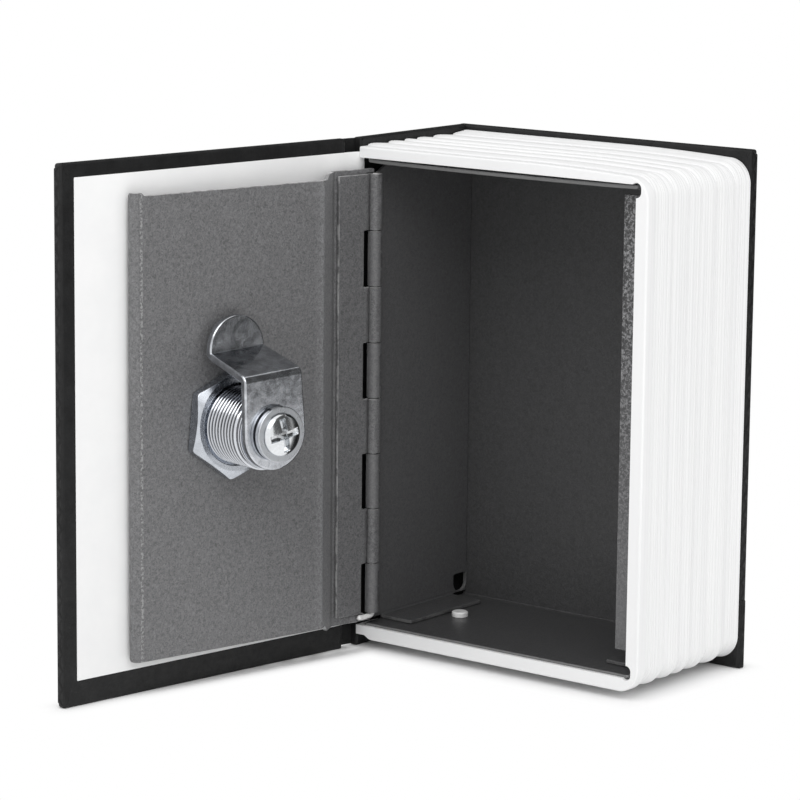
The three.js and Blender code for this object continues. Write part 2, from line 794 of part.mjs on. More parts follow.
// A wafer is a plate with a window for the key and a notch for its spring.
function wafer(number) {
  const half = wafer_width / 2;
  const top = wafer_height / 2;
  const notch_top = -top + wafer_notch_height + wafer_notch_width / 2;
  const notch_low = notch_top - wafer_notch_height;
  const plate = outline([
    [-half, -top],
    [half, -top],
    [half, notch_low],
    [half - wafer_notch_width, notch_low],
    [half - wafer_notch_width, notch_top],
    [half, notch_top],
    [half, top],
    [-half, top],
  ]);
  const window_half = wafer_window_width / 2;
  const window = new THREE.Path();
  window.moveTo(-window_half, -wafer_window_height / 2);
  window.lineTo(-window_half, wafer_window_height / 2);
  window.lineTo(window_half - overrun / 2, wafer_window_height / 2);
  window.lineTo(window_half - overrun / 2, -wafer_window_height / 2);
  window.closePath();
  plate.holes.push(window);
  const y = wafer_place(number);
  return prism_y(plate, y, y + wafer_thickness);
}

class Helix extends THREE.Curve {
  getPoint(share, target = new THREE.Vector3()) {
    const turn = 2 * Math.PI * spring_turns * share;
    return target.set(spring_radius * Math.cos(turn), spring_radius * Math.sin(turn), spring_height * share);
  }
}

function wafer_spring(number) {
  const wire = circle(0, 0, spring_wire_radius);
  const geometry = new THREE.ExtrudeGeometry(wire, {
    steps: spring_turns * 8, curveSegments: 3, bevelEnabled: false, extrudePath: new Helix(),
  });
  const notch_low = -wafer_height / 2 + wafer_notch_width / 2;
  const lift = notch_low + (wafer_notch_height - spring_height) / 2;
  const side = (wafer_width - wafer_notch_width) / 2;
  geometry.translate(side, wafer_place(number) + wafer_thickness / 2, lift);
  return solid(geometry);
}

function stop_washer() {
  const half = post_width / 2 + lock_gap;
  const stop_washer_end = stop_washer_start + stop_washer_thickness;
  const disc = rod_y(0, 0, collar_radius, stop_washer_start, stop_washer_end, fine_facets);
  return disc.subtract(block(-half, half, stop_washer_start - overrun, cam_start, -half, half));
}

// The cam is a plate bent twice: its side view and its front view meet in one solid.
function lock_cam() {
  const front = cam_end - cam_offset;
  const drop = cam_thickness * cam_bend_share;
  const side = outline([
    [cam_start, -cam_foot_radius],
    [cam_end, -cam_foot_radius],
    [cam_end, cam_bend_start],
    [front, cam_bend_end],
    [front, cam_length],
    [front - cam_thickness, cam_length],
    [front - cam_thickness, cam_bend_end - drop],
    [cam_start, cam_bend_start - drop],
  ]);
  const face = new THREE.Shape();
  face.absarc(0, 0, cam_foot_radius, Math.PI, 2 * Math.PI);
  face.lineTo(cam_tip_radius, cam_length - cam_tip_radius);
  face.absarc(0, cam_length - cam_tip_radius, cam_tip_radius, 0, Math.PI);
  face.closePath();
  const bent = prism_x(side, -2 * cam_foot_radius, 2 * cam_foot_radius);
  const plate = prism_y(face, front - cam_thickness - overrun, cam_end + overrun, small_facets);
  const half = post_width / 2 + lock_gap;
  const square = block(-half, half, cam_start - overrun, cam_end + overrun, -half, half);
  return bent.intersect(plate).subtract(square);
}

function split_washer() {
  const end = split_washer_start + washer_thickness;
  const ring = rod_y(0, 0, washer_radius, split_washer_start, end, fine_facets)
    .subtract(rod_y(0, 0, washer_hole_radius, split_washer_start - overrun, end + overrun));
  return ring.subtract(block(-split_width / 2, split_width / 2, split_washer_start - overrun, end + overrun,
    0, washer_radius + overrun));
}

function flat_washer() {
  const end = flat_washer_start + washer_thickness;
  return rod_y(0, 0, washer_radius, flat_washer_start, end, fine_facets)
    .subtract(rod_y(0, 0, washer_hole_radius, flat_washer_start - overrun, end + overrun));
}

// Pan head with a cross recess, on a shank that stops inside the plug.
function cam_screw() {
  const top = screw_seat + screw_head_height;
  const dome_height = screw_head_height - screw_head_edge;
  const profile = [[0, cam_end - screw_length + lock_gap], [screw_radius, cam_end - screw_length + lock_gap],
    [screw_radius, screw_seat], [screw_head_radius, screw_seat],
    [screw_head_radius, screw_seat + screw_head_edge]];
  for (let step = 1; step < corner_steps; step += 1) {
    const turn = (Math.PI / 2) * (step / corner_steps);
    profile.push([screw_head_radius * Math.cos(turn),
      screw_seat + screw_head_edge + dome_height * Math.sin(turn)]);
  }
  profile.push([0, top]);
  const long = recess_span / 2;
  const thin = recess_width / 2;
  const bar = block(-long, long, top - recess_depth, top + overrun, -thin, thin);
  const cross = block(-thin, thin, top - recess_depth, top + overrun, -long, long);
  return turned(profile).subtract(bar).subtract(cross);
}

function lock_barrel() {
  const group = new THREE.Group();
  group.add(piece('lock_plug', lock_plug(), brass));
  for (let number = 0; number < wafer_count; number += 1) {
    group.add(piece(`wafer_${number + 1}`, wafer(number), brass));
    group.add(piece(`wafer_spring_${number + 1}`, wafer_spring(number), spring_steel));
  }
  group.add(piece('stop_washer', stop_washer(), zinc));
  group.add(piece('lock_cam', lock_cam(), zinc));
  group.add(piece('split_washer', split_washer(), zinc));
  group.add(piece('flat_washer', flat_washer(), zinc));
  group.add(piece('cam_screw', cam_screw(), zinc));
  return group;
}

// The lock sits on the door, leaning a few degrees from upright.
function cam_lock() {
  const group = new THREE.Group();
  group.add(piece('lock_housing', lock_housing(), zinc));
  group.add(piece('lock_nut', lock_nut(), zinc));
  group.add(lock_barrel());
  group.rotation.y = THREE.MathUtils.degToRad(lock_turn);
  group.position.set(lock_reach, 0, lock_height);
  return group;
}

function door() {
  const group = new THREE.Group();
  group.add(piece('door_panel', door_panel(), grey_paint));
  group.add(piece('door_hinge_leaf', hinge_leaf(), grey_paint));
  group.add(piece('hinge_pin', hinge_pin(), zinc));
  group.add(cam_lock());
  group.rotation.z = THREE.MathUtils.degToRad(-door_open_angle);
  group.position.set(hinge_x, hinge_y, 0);
  return group;
}

// The front cover swings about the front corner of the spine.
function open_front_cover() {
  const swing = new THREE.Group();
  const cover = front_cover();
  cover.position.set(-cover_pivot_x, -cover_pivot_y, 0);
  swing.add(cover);
  swing.rotation.z = THREE.MathUtils.degToRad(-cover_open_angle);
  swing.position.set(cover_pivot_x, cover_pivot_y, 0);
  return swing;
}

const safe = new THREE.Group();
safe.add(back_cover());
safe.add(spine());
safe.add(joints_of_cloth_and_paper());
safe.add(piece('page_block', page_block(), page_plastic));
safe.add(piece('box_tray', box_tray(), grey_paint));
safe.add(piece('box_hinge_side', hinge_side(), grey_paint));
safe.add(piece('box_lock_side', lock_side(), grey_paint));
safe.add(piece('floor_rivet', floor_rivet(), rivet_metal));
safe.add(open_front_cover());
safe.add(door());
safe.position.set(-book_width / 2, -(book_thickness - cover_thickness / 2), 0);

export default safe;
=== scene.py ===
import json
import math

import bpy
import numpy as np
from mathutils import Matrix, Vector
from mathutils.geometry import delaunay_2d_cdt


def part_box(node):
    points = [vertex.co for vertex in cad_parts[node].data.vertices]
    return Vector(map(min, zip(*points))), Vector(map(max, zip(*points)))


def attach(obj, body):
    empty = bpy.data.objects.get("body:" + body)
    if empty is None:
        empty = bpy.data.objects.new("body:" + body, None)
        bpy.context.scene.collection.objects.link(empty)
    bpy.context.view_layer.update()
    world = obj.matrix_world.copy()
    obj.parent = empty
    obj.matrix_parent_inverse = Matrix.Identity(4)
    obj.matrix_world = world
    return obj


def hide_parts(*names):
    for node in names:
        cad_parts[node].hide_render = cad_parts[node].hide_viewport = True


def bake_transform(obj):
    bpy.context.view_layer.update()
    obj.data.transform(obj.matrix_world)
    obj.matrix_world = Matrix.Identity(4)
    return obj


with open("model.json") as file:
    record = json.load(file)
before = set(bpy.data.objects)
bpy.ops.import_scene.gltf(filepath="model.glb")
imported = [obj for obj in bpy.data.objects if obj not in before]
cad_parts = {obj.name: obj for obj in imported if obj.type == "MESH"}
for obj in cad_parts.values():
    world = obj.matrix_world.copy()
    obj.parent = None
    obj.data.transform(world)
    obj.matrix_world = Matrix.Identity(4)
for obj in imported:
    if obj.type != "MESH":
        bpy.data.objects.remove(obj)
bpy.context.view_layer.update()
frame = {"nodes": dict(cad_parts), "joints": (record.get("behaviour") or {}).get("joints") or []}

nodes = frame["nodes"]
joints = {joint["name"]: joint for joint in frame["joints"]}

# Camera, fitted to the photograph. Angles in degrees, lengths in metres.
CAMERA_AZIMUTH = 37.99
CAMERA_ELEVATION = 10.40
CAMERA_ROLL = 0.59
CAMERA_DISTANCE = 0.81442
CAMERA_LENS_MM = 158.54
CAMERA_AIM = (-0.036475, -0.02764, 0.05626)
SENSOR_MM = 36.0
CAMERA_CLIP = 0.01

# Book case
COVER_THICKNESS = 0.0023
COVER_SEAT = 0.00255
COVER_EDGE_RADIUS = 0.00062
COVER_CORNERS = (0.0004, 0.0006, 0.0006, 0.0004)
COVER_OPEN = math.radians(99.16)
JOINT_EDGE = 0.001
WRAP = 0.0003
WRAP_EDGE = 0.00012
JOINT_SINK = 0.00018
FLAP_REACH = 0.0052
FLAP_SLANT = 0.0125
FLAP_TOP_GAP = 0.00015
FLAP_CORNER = 0.0009
FLAP_PROUD = 0.00008
FLAP_BEND = 0.0007
FLAP_RADII = (0.0004, 0.0009, 0.0004, 0.0004, 0.0009, 0.0004)
FOLD_HEIGHT = 0.0158
FOLD_PROUD = 0.00042
FOLD_BEND = 0.0005
FOLD_CORNER = 0.0003
ENDPAPER = 0.00016
ENDPAPER_PROUD = 0.0001
ENDPAPER_EDGE = 0.00006
BORDER_FORE = 0.0035
BORDER_BOTTOM = 0.0057
BORDER_TOP = 0.0031
PAPER_CORNERS = (0.0001, 0.0002, 0.0002, 0.0001)
SPINE_FRONT = 0.0034
SPINE_BACK_GAP = 0.001
SPINE_CORNER = 0.0003
BOARD_SPACING = 0.006

# Page block
RIB_SHARES = (0.073, 0.261, 0.409, 0.525, 0.68, 0.868, 1.15)
RIB_DEPTH = 0.00045
FOOT_RIB_DEPTH = 0.0012
LAST_RIB_RISE = 0.00045
RIB_LEAN = 0.45
RIB_STEP = 0.0003
PAGE_LINE_DEPTH = 0.00012
PAGE_LINE_WIDTHS = (0.00055, 0.00135)
PAGE_LINE_SEED = 11
PAGE_LINE_DRAWS = 60
BLOCK_CORNER = 0.0055
BLOCK_DROOP = 0.0008
BLOCK_DROOP_REACH = 0.028
BLOCK_FRONT_ROUND = 0.0004
BLOCK_STATION = 0.00012
WALL_RIGHT = 0.0034
WALL_TOP = 0.0029
WALL_BOTTOM = 0.0027
RIM_LIP_HEIGHT = 0.00045
RIM_LIP_DEPTH = 0.00085
RIM_ROUND = 0.0003
EAR_RADIUS = 0.0013
EAR_DROP = 0.0004
EAR_RISE = 0.0016
EAR_DEPTH = 0.005
SPINE_WALL_SETBACK = 0.009
CORNER_CLIP = (0.0041, 0.0024, 0.001, 0.001)
CORNER_CLIP_DEPTH = 0.012
CUT_OVERRUN = 0.001

# Steel box
SHEET = 0.0009
SHEET_EDGE = 0.00018
SHEET_STEP = 0.0005
SEAT = 0.0001
TAB_WIDTH = 0.0086
TAB_SETBACK = 0.00635
TAB_BACK_INSET = 0.0054
TAB_BEND = 0.0009
SLOT_HEIGHT = 0.0042
SLOT_LIFT = 0.0012
SLOT_EDGE = 0.0004
SLOT_RADII = (0.0022, 0.0022, 0.0005, 0.0005)
SLOT_MARGIN = 0.0012
SIDE_SLANT = 0.003
LIP_REACH = 0.006
LIP_SETBACK = 0.00605
LIP_GAP_BOTTOM = 0.0038
LIP_GAP_TOP = 0.0021
LIP_CORNER = 0.0003
TAB_CORNER = 0.0005
BOX_BEND = 0.0008
TRAY_BOW = 0.00045
TRAY_BOW_REACH = 0.012
TRAY_EDGE = 0.0003
TRAY_CORNER = 0.0006
TRAY_SPACING = 0.003
EDGE_RELIEF = 0.0019

# Hinge
KNUCKLE_OUTER = 0.0016
KNUCKLE_BORE = 0.0008
KNUCKLE_COUNT = 8
KNUCKLE_GAP = 0.00022
KNUCKLE_LIFT = 0.0015
KNUCKLE_DROP = 0.0025
HINGE_FOOT_TRIM = 0.0012
LEAF_CENTRE = -0.00005
LEAF_REACH = 0.0106
LEAF_NOTCH = 0.0034
LEAF_DIP_START = 0.0026
LEAF_DIP_RADIUS = 0.0005
LEAF_TIP = math.radians(-360)
SIDE_ROLL = math.radians(285)
PIN_RADIUS = 0.0007
PIN_RISE = 0.00005
PIN_FOOT_RADIUS = 0.0006
PIN_FOOT_LENGTH = 0.0042
PIN_FOOT_SAG = 0.0002
PIN_FOOT_GAP = 0.00015

# Door
DOOR_STRIP_CENTRE = -0.0011
DOOR_PANEL_CENTRE = 0.00375
DOOR_STRIP_END = 0.0114
DOOR_PANEL_START = 0.0179
DOOR_PANEL_END = 0.0693
DOOR_PANEL_BOTTOM_GAP = 0.0021
DOOR_PANEL_TOP_GAP = 0.0025
DOOR_STRIP_EXTRA_LOW = 0.0014
DOOR_STRIP_EXTRA_HIGH = 0.0011
DOOR_JOG = 0.0018
DOOR_JOG_BEND = 0.0012
DOOR_EAR_START = -0.0003
DOOR_STRIP_START = 0.00195
DOOR_EAR_GAP = 0.0002
DOOR_FLANGE = 0.0016
DOOR_BEND = 0.0009
DOOR_RADII = (0.0003, 0.0005, 0.0005, 0.0009, 0.0009, 0.0003, 0.0002, 0.0005, 0.0005, 0.0003,
              0.0002, 0.0001)
DOOR_HOLE_GAP = 0.0003
HEM_WIDTH = 0.002
HEM_RISE = 0.0007
# How many times lighter the door's slope is painted: painted light on the slope between strip and panel.
SLOPE_PAINTED_LIGHT = 1.4

# Cam lock
LOCK_REACH = 0.0439
LOCK_HEIGHT = 0.0587
LOCK_TURN = math.radians(3)
HEAD_RADIUS = 0.0105
HEAD_BACK = 0.0031
THREAD_RADIUS = 0.00865
THREAD_DEPTH = 0.00055
THREAD_PITCH = 0.00106
THREAD_ROWS = 14
THREAD_END = 0.0171
BORE_RADIUS = 0.0055
COLLAR_RADIUS = 0.0083
COLLAR_END = 0.0184
NUT_FLATS = 0.022
NUT_BACK = 0.0044
NUT_FRONT = 0.0074
NUT_RING = 0.0105
NUT_CORNER = 0.0125
NUT_BORE_CUT = 0.0002
NUT_CONE = math.radians(28)
NUT_TURN = math.radians(9)
STOP_WASHER = (0.0186, 0.0191)
STOP_WASHER_RADIUS = 0.0083
STOP_WASHER_HOLE = 0.0046
CAM_DEPTHS = (0.02, 0.00725)
CAM_THICKNESS = 0.0017
CAM_FOOT_RADIUS = 0.0081
CAM_TIP_RADIUS = 0.0073
CAM_BENDS = (0.0127, 0.0162)
CAM_TIP = 0.0243
CAM_BEND_RADIUS = 0.00095
CAM_EDGE = 0.00042
POST_HALF = 0.0032
SPLIT_WASHER = (0.0212, 0.02185)
SPLIT_TURN = math.radians(70)
FLAT_WASHER = (0.02205, 0.0227)
WASHER_RADIUS = 0.0061
WASHER_HOLE = 0.002
SCREW_SEAT = 0.0229
SCREW_HEAD_RADIUS = 0.0047
SCREW_HEAD_HEIGHT = 0.0014
SCREW_DOME = 0.00075
SCREW_EDGE = 0.0007
SCREW_SHANK = 0.00145
SCREW_TURN = math.radians(8)
RECESS_SPAN = 0.0037
RECESS_WIDTH = 0.00074
RECESS_WALL = 0.00016
RECESS_SLOPE = 0.0011
RECESS_DEPTH = 0.0015
# How much the screw's cross recess is darkened: painted shade, deeper parts darker.
RECESS_PAINTED_SHADE = 0.3
SMALL_EDGE = 0.00012
RING_EDGE = 0.0002
AXIS_GAP = 0.00004
LOCK_AIM_DEPTH = 0.015

# Places read from the frame
book_low, book_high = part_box("back_cover_wrap")
block_low, block_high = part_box("page_block")
tray_low, tray_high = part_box("box_tray")
rivet_low, rivet_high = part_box("floor_rivet")
book_left = book_low.x
book_width = book_high.x - book_low.x
book_height = book_high.z
book_back = book_high.y
book_front = block_low.y - COVER_SEAT
inner_low = tray_low.z - SEAT
inner_top = tray_high.z + SEAT
inner_left = tray_low.x - SEAT
inner_right = tray_high.x + SEAT
block_bottom = inner_low - WALL_BOTTOM
block_top = inner_top + WALL_TOP
block_right = inner_right + WALL_RIGHT
floor_top = tray_low.z + SHEET
ceiling = tray_high.z - SHEET
side_bottom = floor_top + SEAT
side_top = ceiling - SEAT
side_back = tray_high.y - SHEET - SEAT
tab_front = block_low.y + TAB_SETBACK
tab_back = side_back - TAB_BACK_INSET
hinge_bottom = floor_top + KNUCKLE_LIFT
hinge_foot = hinge_bottom + HINGE_FOOT_TRIM
hinge_top = ceiling - KNUCKLE_DROP
knuckle_length = (hinge_top - hinge_bottom) / KNUCKLE_COUNT
hinge_place = np.array(joints["door_hinge"]["pos_m"])
cover_place = np.array(joints["cover_hinge"]["pos_m"])
door_open = math.radians(joints["door_hinge"]["range_deg"][1])
roll_radius = (KNUCKLE_OUTER + KNUCKLE_BORE) / 2
rolled_sheet = KNUCKLE_OUTER - KNUCKLE_BORE

UP = np.array((0.0, 0.0, 1.0))
EAST = np.array((1.0, 0.0, 0.0))
NORTH = np.array((0.0, 1.0, 0.0))


def add_object(name, data):
    """An object that holds the data, in the scene."""
    item = bpy.data.objects.new(name, data)
    bpy.context.scene.collection.objects.link(item)
    return item


def aimed(item, azimuth, elevation, distance, aim, roll=0.0):
    """Turns a thing to look at a point from angles in degrees, rolled about its own axis."""
    turn, rise, roll = (math.radians(angle) for angle in (azimuth, elevation, roll))
    back = np.array((math.sin(turn) * math.cos(rise), -math.cos(turn) * math.cos(rise), math.sin(rise)))
    side = np.cross(UP, back)
    side /= np.linalg.norm(side)
    above = np.cross(back, side)
    columns = (math.cos(roll) * side + math.sin(roll) * above, math.cos(roll) * above - math.sin(roll) * side,
               back, np.array(aim) + back * distance)
    matrix = Matrix.Identity(4)
    for row in range(3):
        matrix[row] = [column[row] for column in columns]
    item.matrix_world = matrix
    return item


def make_camera():
    """A pinhole at the fitted distance and angles, turned by the roll about its own axis."""
    data = bpy.data.cameras.new("camera")
    data.lens = CAMERA_LENS_MM
    data.sensor_width = SENSOR_MM
    data.clip_start = CAMERA_CLIP
    data.dof.use_dof = False
    bpy.context.scene.camera = aimed(add_object("camera", data), CAMERA_AZIMUTH, CAMERA_ELEVATION,
                                     CAMERA_DISTANCE, CAMERA_AIM, CAMERA_ROLL)


make_camera()


# Planes: an origin and three directions, (reach, depth, up), that shapes are drawn in.
def turned_plane(origin, angle):
    """Reach and depth turned by an angle about the vertical."""
    reach = np.array((math.cos(angle), math.sin(angle), 0.0))
    depth = np.array((-math.sin(angle), math.cos(angle), 0.0))
    return np.asarray(origin, float), reach, depth, UP


def on_open_cover(x, depth):
    """A point of the closed front cover, where it lies with the cover open."""
    dx, dy = book_left + x - cover_place[0], book_front + depth - cover_place[1]
    c, s = math.cos(-COVER_OPEN), math.sin(-COVER_OPEN)
    return np.array((cover_place[0] + c * dx - s * dy, cover_place[1] + s * dx + c * dy))


front_cover_plane = turned_plane((*on_open_cover(0.0, 0.0), 0.0), -COVER_OPEN)
back_cover_plane = (np.array((book_left, book_back, 0.0)), EAST, -NORTH, UP)
spine_plane = (np.array((book_left, book_front, 0.0)), NORTH, EAST, UP)
world_plane = (np.zeros(3), EAST, NORTH, UP)
tray_plane = (np.zeros(3), NORTH, UP, EAST)
tab_plane = (np.zeros(3), EAST, UP, NORTH)
door_plane = turned_plane((hinge_place[0], hinge_place[1], 0.0), -door_open)
hinge_side_plane = (door_plane[0], EAST, NORTH, UP)
# The lock's own directions: depth along its axis, and up leaning towards the door's free edge.
lock_plane = (door_plane[0] + door_plane[1] * LOCK_REACH + UP * LOCK_HEIGHT,
              math.cos(LOCK_TURN) * door_plane[1] - math.sin(LOCK_TURN) * UP, door_plane[2],
              math.sin(LOCK_TURN) * door_plane[1] + math.cos(LOCK_TURN) * UP)


def in_plane(plane, reach, depth, up):
    """Coordinates in a plane's directions, as points in the frame."""
    origin, a, b, c = plane
    reach, depth, up = np.broadcast_arrays(reach, depth, up)
    return origin + reach[..., None] * a + depth[..., None] * b + up[..., None] * c


def round_axis(plane, radius, depth, angle):
    """Points at a radius and an angle about a plane's depth axis."""
    return in_plane(plane, radius * np.cos(angle), depth, radius * np.sin(angle))


# Mesh making
def signed_volume(points, faces):
    """Six times the volume inside a closed set of faces, positive when they point outwards."""
    points = points - points.mean(0)
    total = 0.0
    for corner in range(1, faces.shape[1] - 1):
        a, b, c = points[faces[:, 0]], points[faces[:, corner]], points[faces[:, corner + 1]]
        total += float(np.einsum("ij,ij->", a, np.cross(b, c)))
    return total


def full_turn(count):
    """Evenly spaced angles round a circle."""
    return np.linspace(0, 2 * math.pi, count, endpoint=False)


def add_mesh(name, points, faces):
    """An object from points and a list of faces."""
    mesh = bpy.data.meshes.new(name)
    mesh.from_pydata(np.asarray(points).tolist(), [], faces)
    return add_object(name, mesh)


def mesh_object(name, points, face_sets, normals=None, sharp_degrees=None):
    """An object from points and arrays of faces, turned outwards, with given or angle-split normals."""
    points = np.asarray(points, float).reshape(-1, 3)
    if sum(signed_volume(points, faces) for faces in face_sets) < 0:
        face_sets = [faces[:, ::-1] for faces in face_sets]
    piece = add_mesh(name, points, [face for faces in face_sets for face in faces.tolist()])
    mesh = piece.data
    mesh.polygons.foreach_set("use_smooth", np.ones(len(mesh.polygons), bool))
    mesh.update()
    if normals is not None:
        normals = normals.reshape(-1, 3)
        normals = normals / np.maximum(np.linalg.norm(normals, axis=1, keepdims=True), 1e-12)
        mesh.normals_split_custom_set_from_vertices(normals.tolist())
    elif sharp_degrees is not None:
        mesh.set_sharp_from_angle(angle=math.radians(sharp_degrees))
    return piece


def point_places(mesh):
    """The coordinates of a mesh's points."""
    points = np.empty(len(mesh.vertices) * 3)
    mesh.vertices.foreach_get("co", points)
    return points.reshape(-1, 3)


def mark(piece, name, values):
    """Gives each point of a piece a value under a name."""
    piece.data.attributes.new(name, "FLOAT", "POINT").data.foreach_set("value", values)


def grid_faces(rows, columns, wrap_rows=False, wrap_columns=True):
    """Four-sided faces between neighbours on a grid, joined round where it wraps."""
    r, c = np.meshgrid(np.arange(rows if wrap_rows else rows - 1),
                       np.arange(columns if wrap_columns else columns - 1), indexing="ij")
    r, c = r.ravel(), c.ravel()
    r2, c2 = (r + 1) % rows, (c + 1) % columns
    return np.stack((r * columns + c, r * columns + c2, r2 * columns + c2, r2 * columns + c), axis=1)


def rounded_path(corners, radii, closed=False, arc_points=9):
    """Corners joined by straight lines, each corner an arc of its radius: points and headings."""
    corners = np.asarray(corners, float)
    radii = np.broadcast_to(radii, len(corners))
    points, headings = [], []
    for i, here in enumerate(corners):
        into, away = here - corners[i - 1], corners[(i + 1) % len(corners)] - here
        if not closed:
            into = away if i == 0 else into
            away = into if i == len(corners) - 1 else away
        start = math.atan2(into[1], into[0])
        turn = (math.atan2(away[1], away[0]) - start + math.pi) % (2 * math.pi) - math.pi
        if abs(turn) < 1e-4:
            points.append(here[None])
            headings.append(np.array([start]))
            continue
        side = math.copysign(1.0, turn)
        reach = radii[i] * math.tan(abs(turn) / 2)
        begin = here - reach * np.array((math.cos(start), math.sin(start)))
        centre = begin + side * radii[i] * np.array((-math.sin(start), math.cos(start)))
        heading = start + turn * np.linspace(0, 1, arc_points)
        points.append(centre - side * radii[i] * np.stack((-np.sin(heading), np.cos(heading)), axis=1))
        headings.append(heading)
    return np.concatenate(points), np.unwrap(np.concatenate(headings))


def closed_loop(corners, radii, arc_points=9):
    """A closed outline with rounded corners."""
    return rounded_path(corners, radii, True, arc_points)[0]


def rectangle(x0, x1, y0, y1, radii):
    """A rectangle's outline, with a radius at its low-left, low-right, high-right and high-left corner."""
    return closed_loop([(x0, y0), (x1, y0), (x1, y1), (x0, y1)], radii)


def with_length(points, heading):
    """A sheet's middle line, with its length from the start at each point: (length, points, heading)."""
    steps = np.linalg.norm(np.diff(points, axis=0), axis=1)
    return np.concatenate(([0.0], np.cumsum(steps))), points, heading


def fold_line(corners, radii=0.0):
    """The middle line of a sheet that is bent at its corners."""
    return with_length(*rounded_path(corners, radii, arc_points=13))


def length_at(line, value, axis=0):
    """The length along a middle line where one coordinate has a value."""
    length, points, _ = line
    order = np.argsort(points[:, axis])
    return float(np.interp(value, points[order, axis], length[order]))


def resample(loop, step):
    """A closed loop with points added so that no stretch is longer than the step."""
    ring = np.vstack((loop, loop[:1]))
    run = np.concatenate(([0.0], np.cumsum(np.linalg.norm(np.diff(ring, axis=0), axis=1))))
    run, keep = np.unique(run, return_index=True)
    counts = np.maximum(np.ceil(np.diff(run) / step).astype(int), 1)
    spans = zip(run[:-1], run[1:], counts)
    places = np.concatenate([np.linspace(a, b, n, endpoint=False) for a, b, n in spans])
    return np.stack([np.interp(places, run, ring[keep, axis]) for axis in (0, 1)], axis=1)


def loop_area(loop):
    """Twice a loop's area, positive when it runs anticlockwise."""
    following = np.roll(loop, -1, axis=0)
    return float(np.sum(loop[:, 0] * following[:, 1] - loop[:, 1] * following[:, 0]))


def inward(loop):
    """The unit direction to the left of a loop at each of its points."""
    along = np.roll(loop, -1, axis=0) - np.roll(loop, 1, axis=0)
    along /= np.maximum(np.linalg.norm(along, axis=1, keepdims=True), 1e-12)
    return np.stack((-along[:, 1], along[:, 0]), axis=1)


def inside(points, loops):
    """True for each point with an odd number of loop edges to its right."""
    odd = np.zeros(len(points), bool)
    x, y = points[:, 0][:, None], points[:, 1][:, None]
    for a in loops:
        b = np.roll(a, -1, axis=0)
        crosses = (a[:, 1] > y) != (b[:, 1] > y)
        rise = np.where(b[:, 1] == a[:, 1], 1e-18, b[:, 1] - a[:, 1])
        where = a[:, 0] + (y - a[:, 1]) * (b[:, 0] - a[:, 0]) / rise
        odd ^= (np.sum(crosses & (x < where), axis=1) % 2).astype(bool)
    return odd


def filled(loops, lengths, widths, clearance):
    """Triangles that fill the loops, with grid points inside: points, triangles and the loops' points."""
    grid = np.stack(np.meshgrid(lengths, widths, indexing="ij"), axis=-1).reshape(-1, 2)
    edge = np.concatenate(loops)
    grid = grid[inside(grid, loops)]
    if len(grid):
        near = np.min(np.linalg.norm(grid[:, None] - edge[None], axis=2), axis=1)
        grid = grid[near > clearance]
    ties, start = [], 0
    for loop in loops:
        index = start + np.arange(len(loop))
        ties.extend(zip(index.tolist(), np.roll(index, -1).tolist()))
        start += len(loop)
    scale = 1000.0
    given = np.vstack((edge, grid))
    places, _, faces, origins, _, _ = delaunay_2d_cdt((given * scale).tolist(), ties, [], 0, 1e-6)
    places = np.array([tuple(place) for place in places]) / scale
    where = np.zeros(len(given), int)
    for new, olds in enumerate(origins):
        where[olds] = new
    triangles = np.array([face for face in faces if len(face) == 3], int)
    return places, triangles[inside(places[triangles].mean(axis=1), loops)], where[:len(edge)]


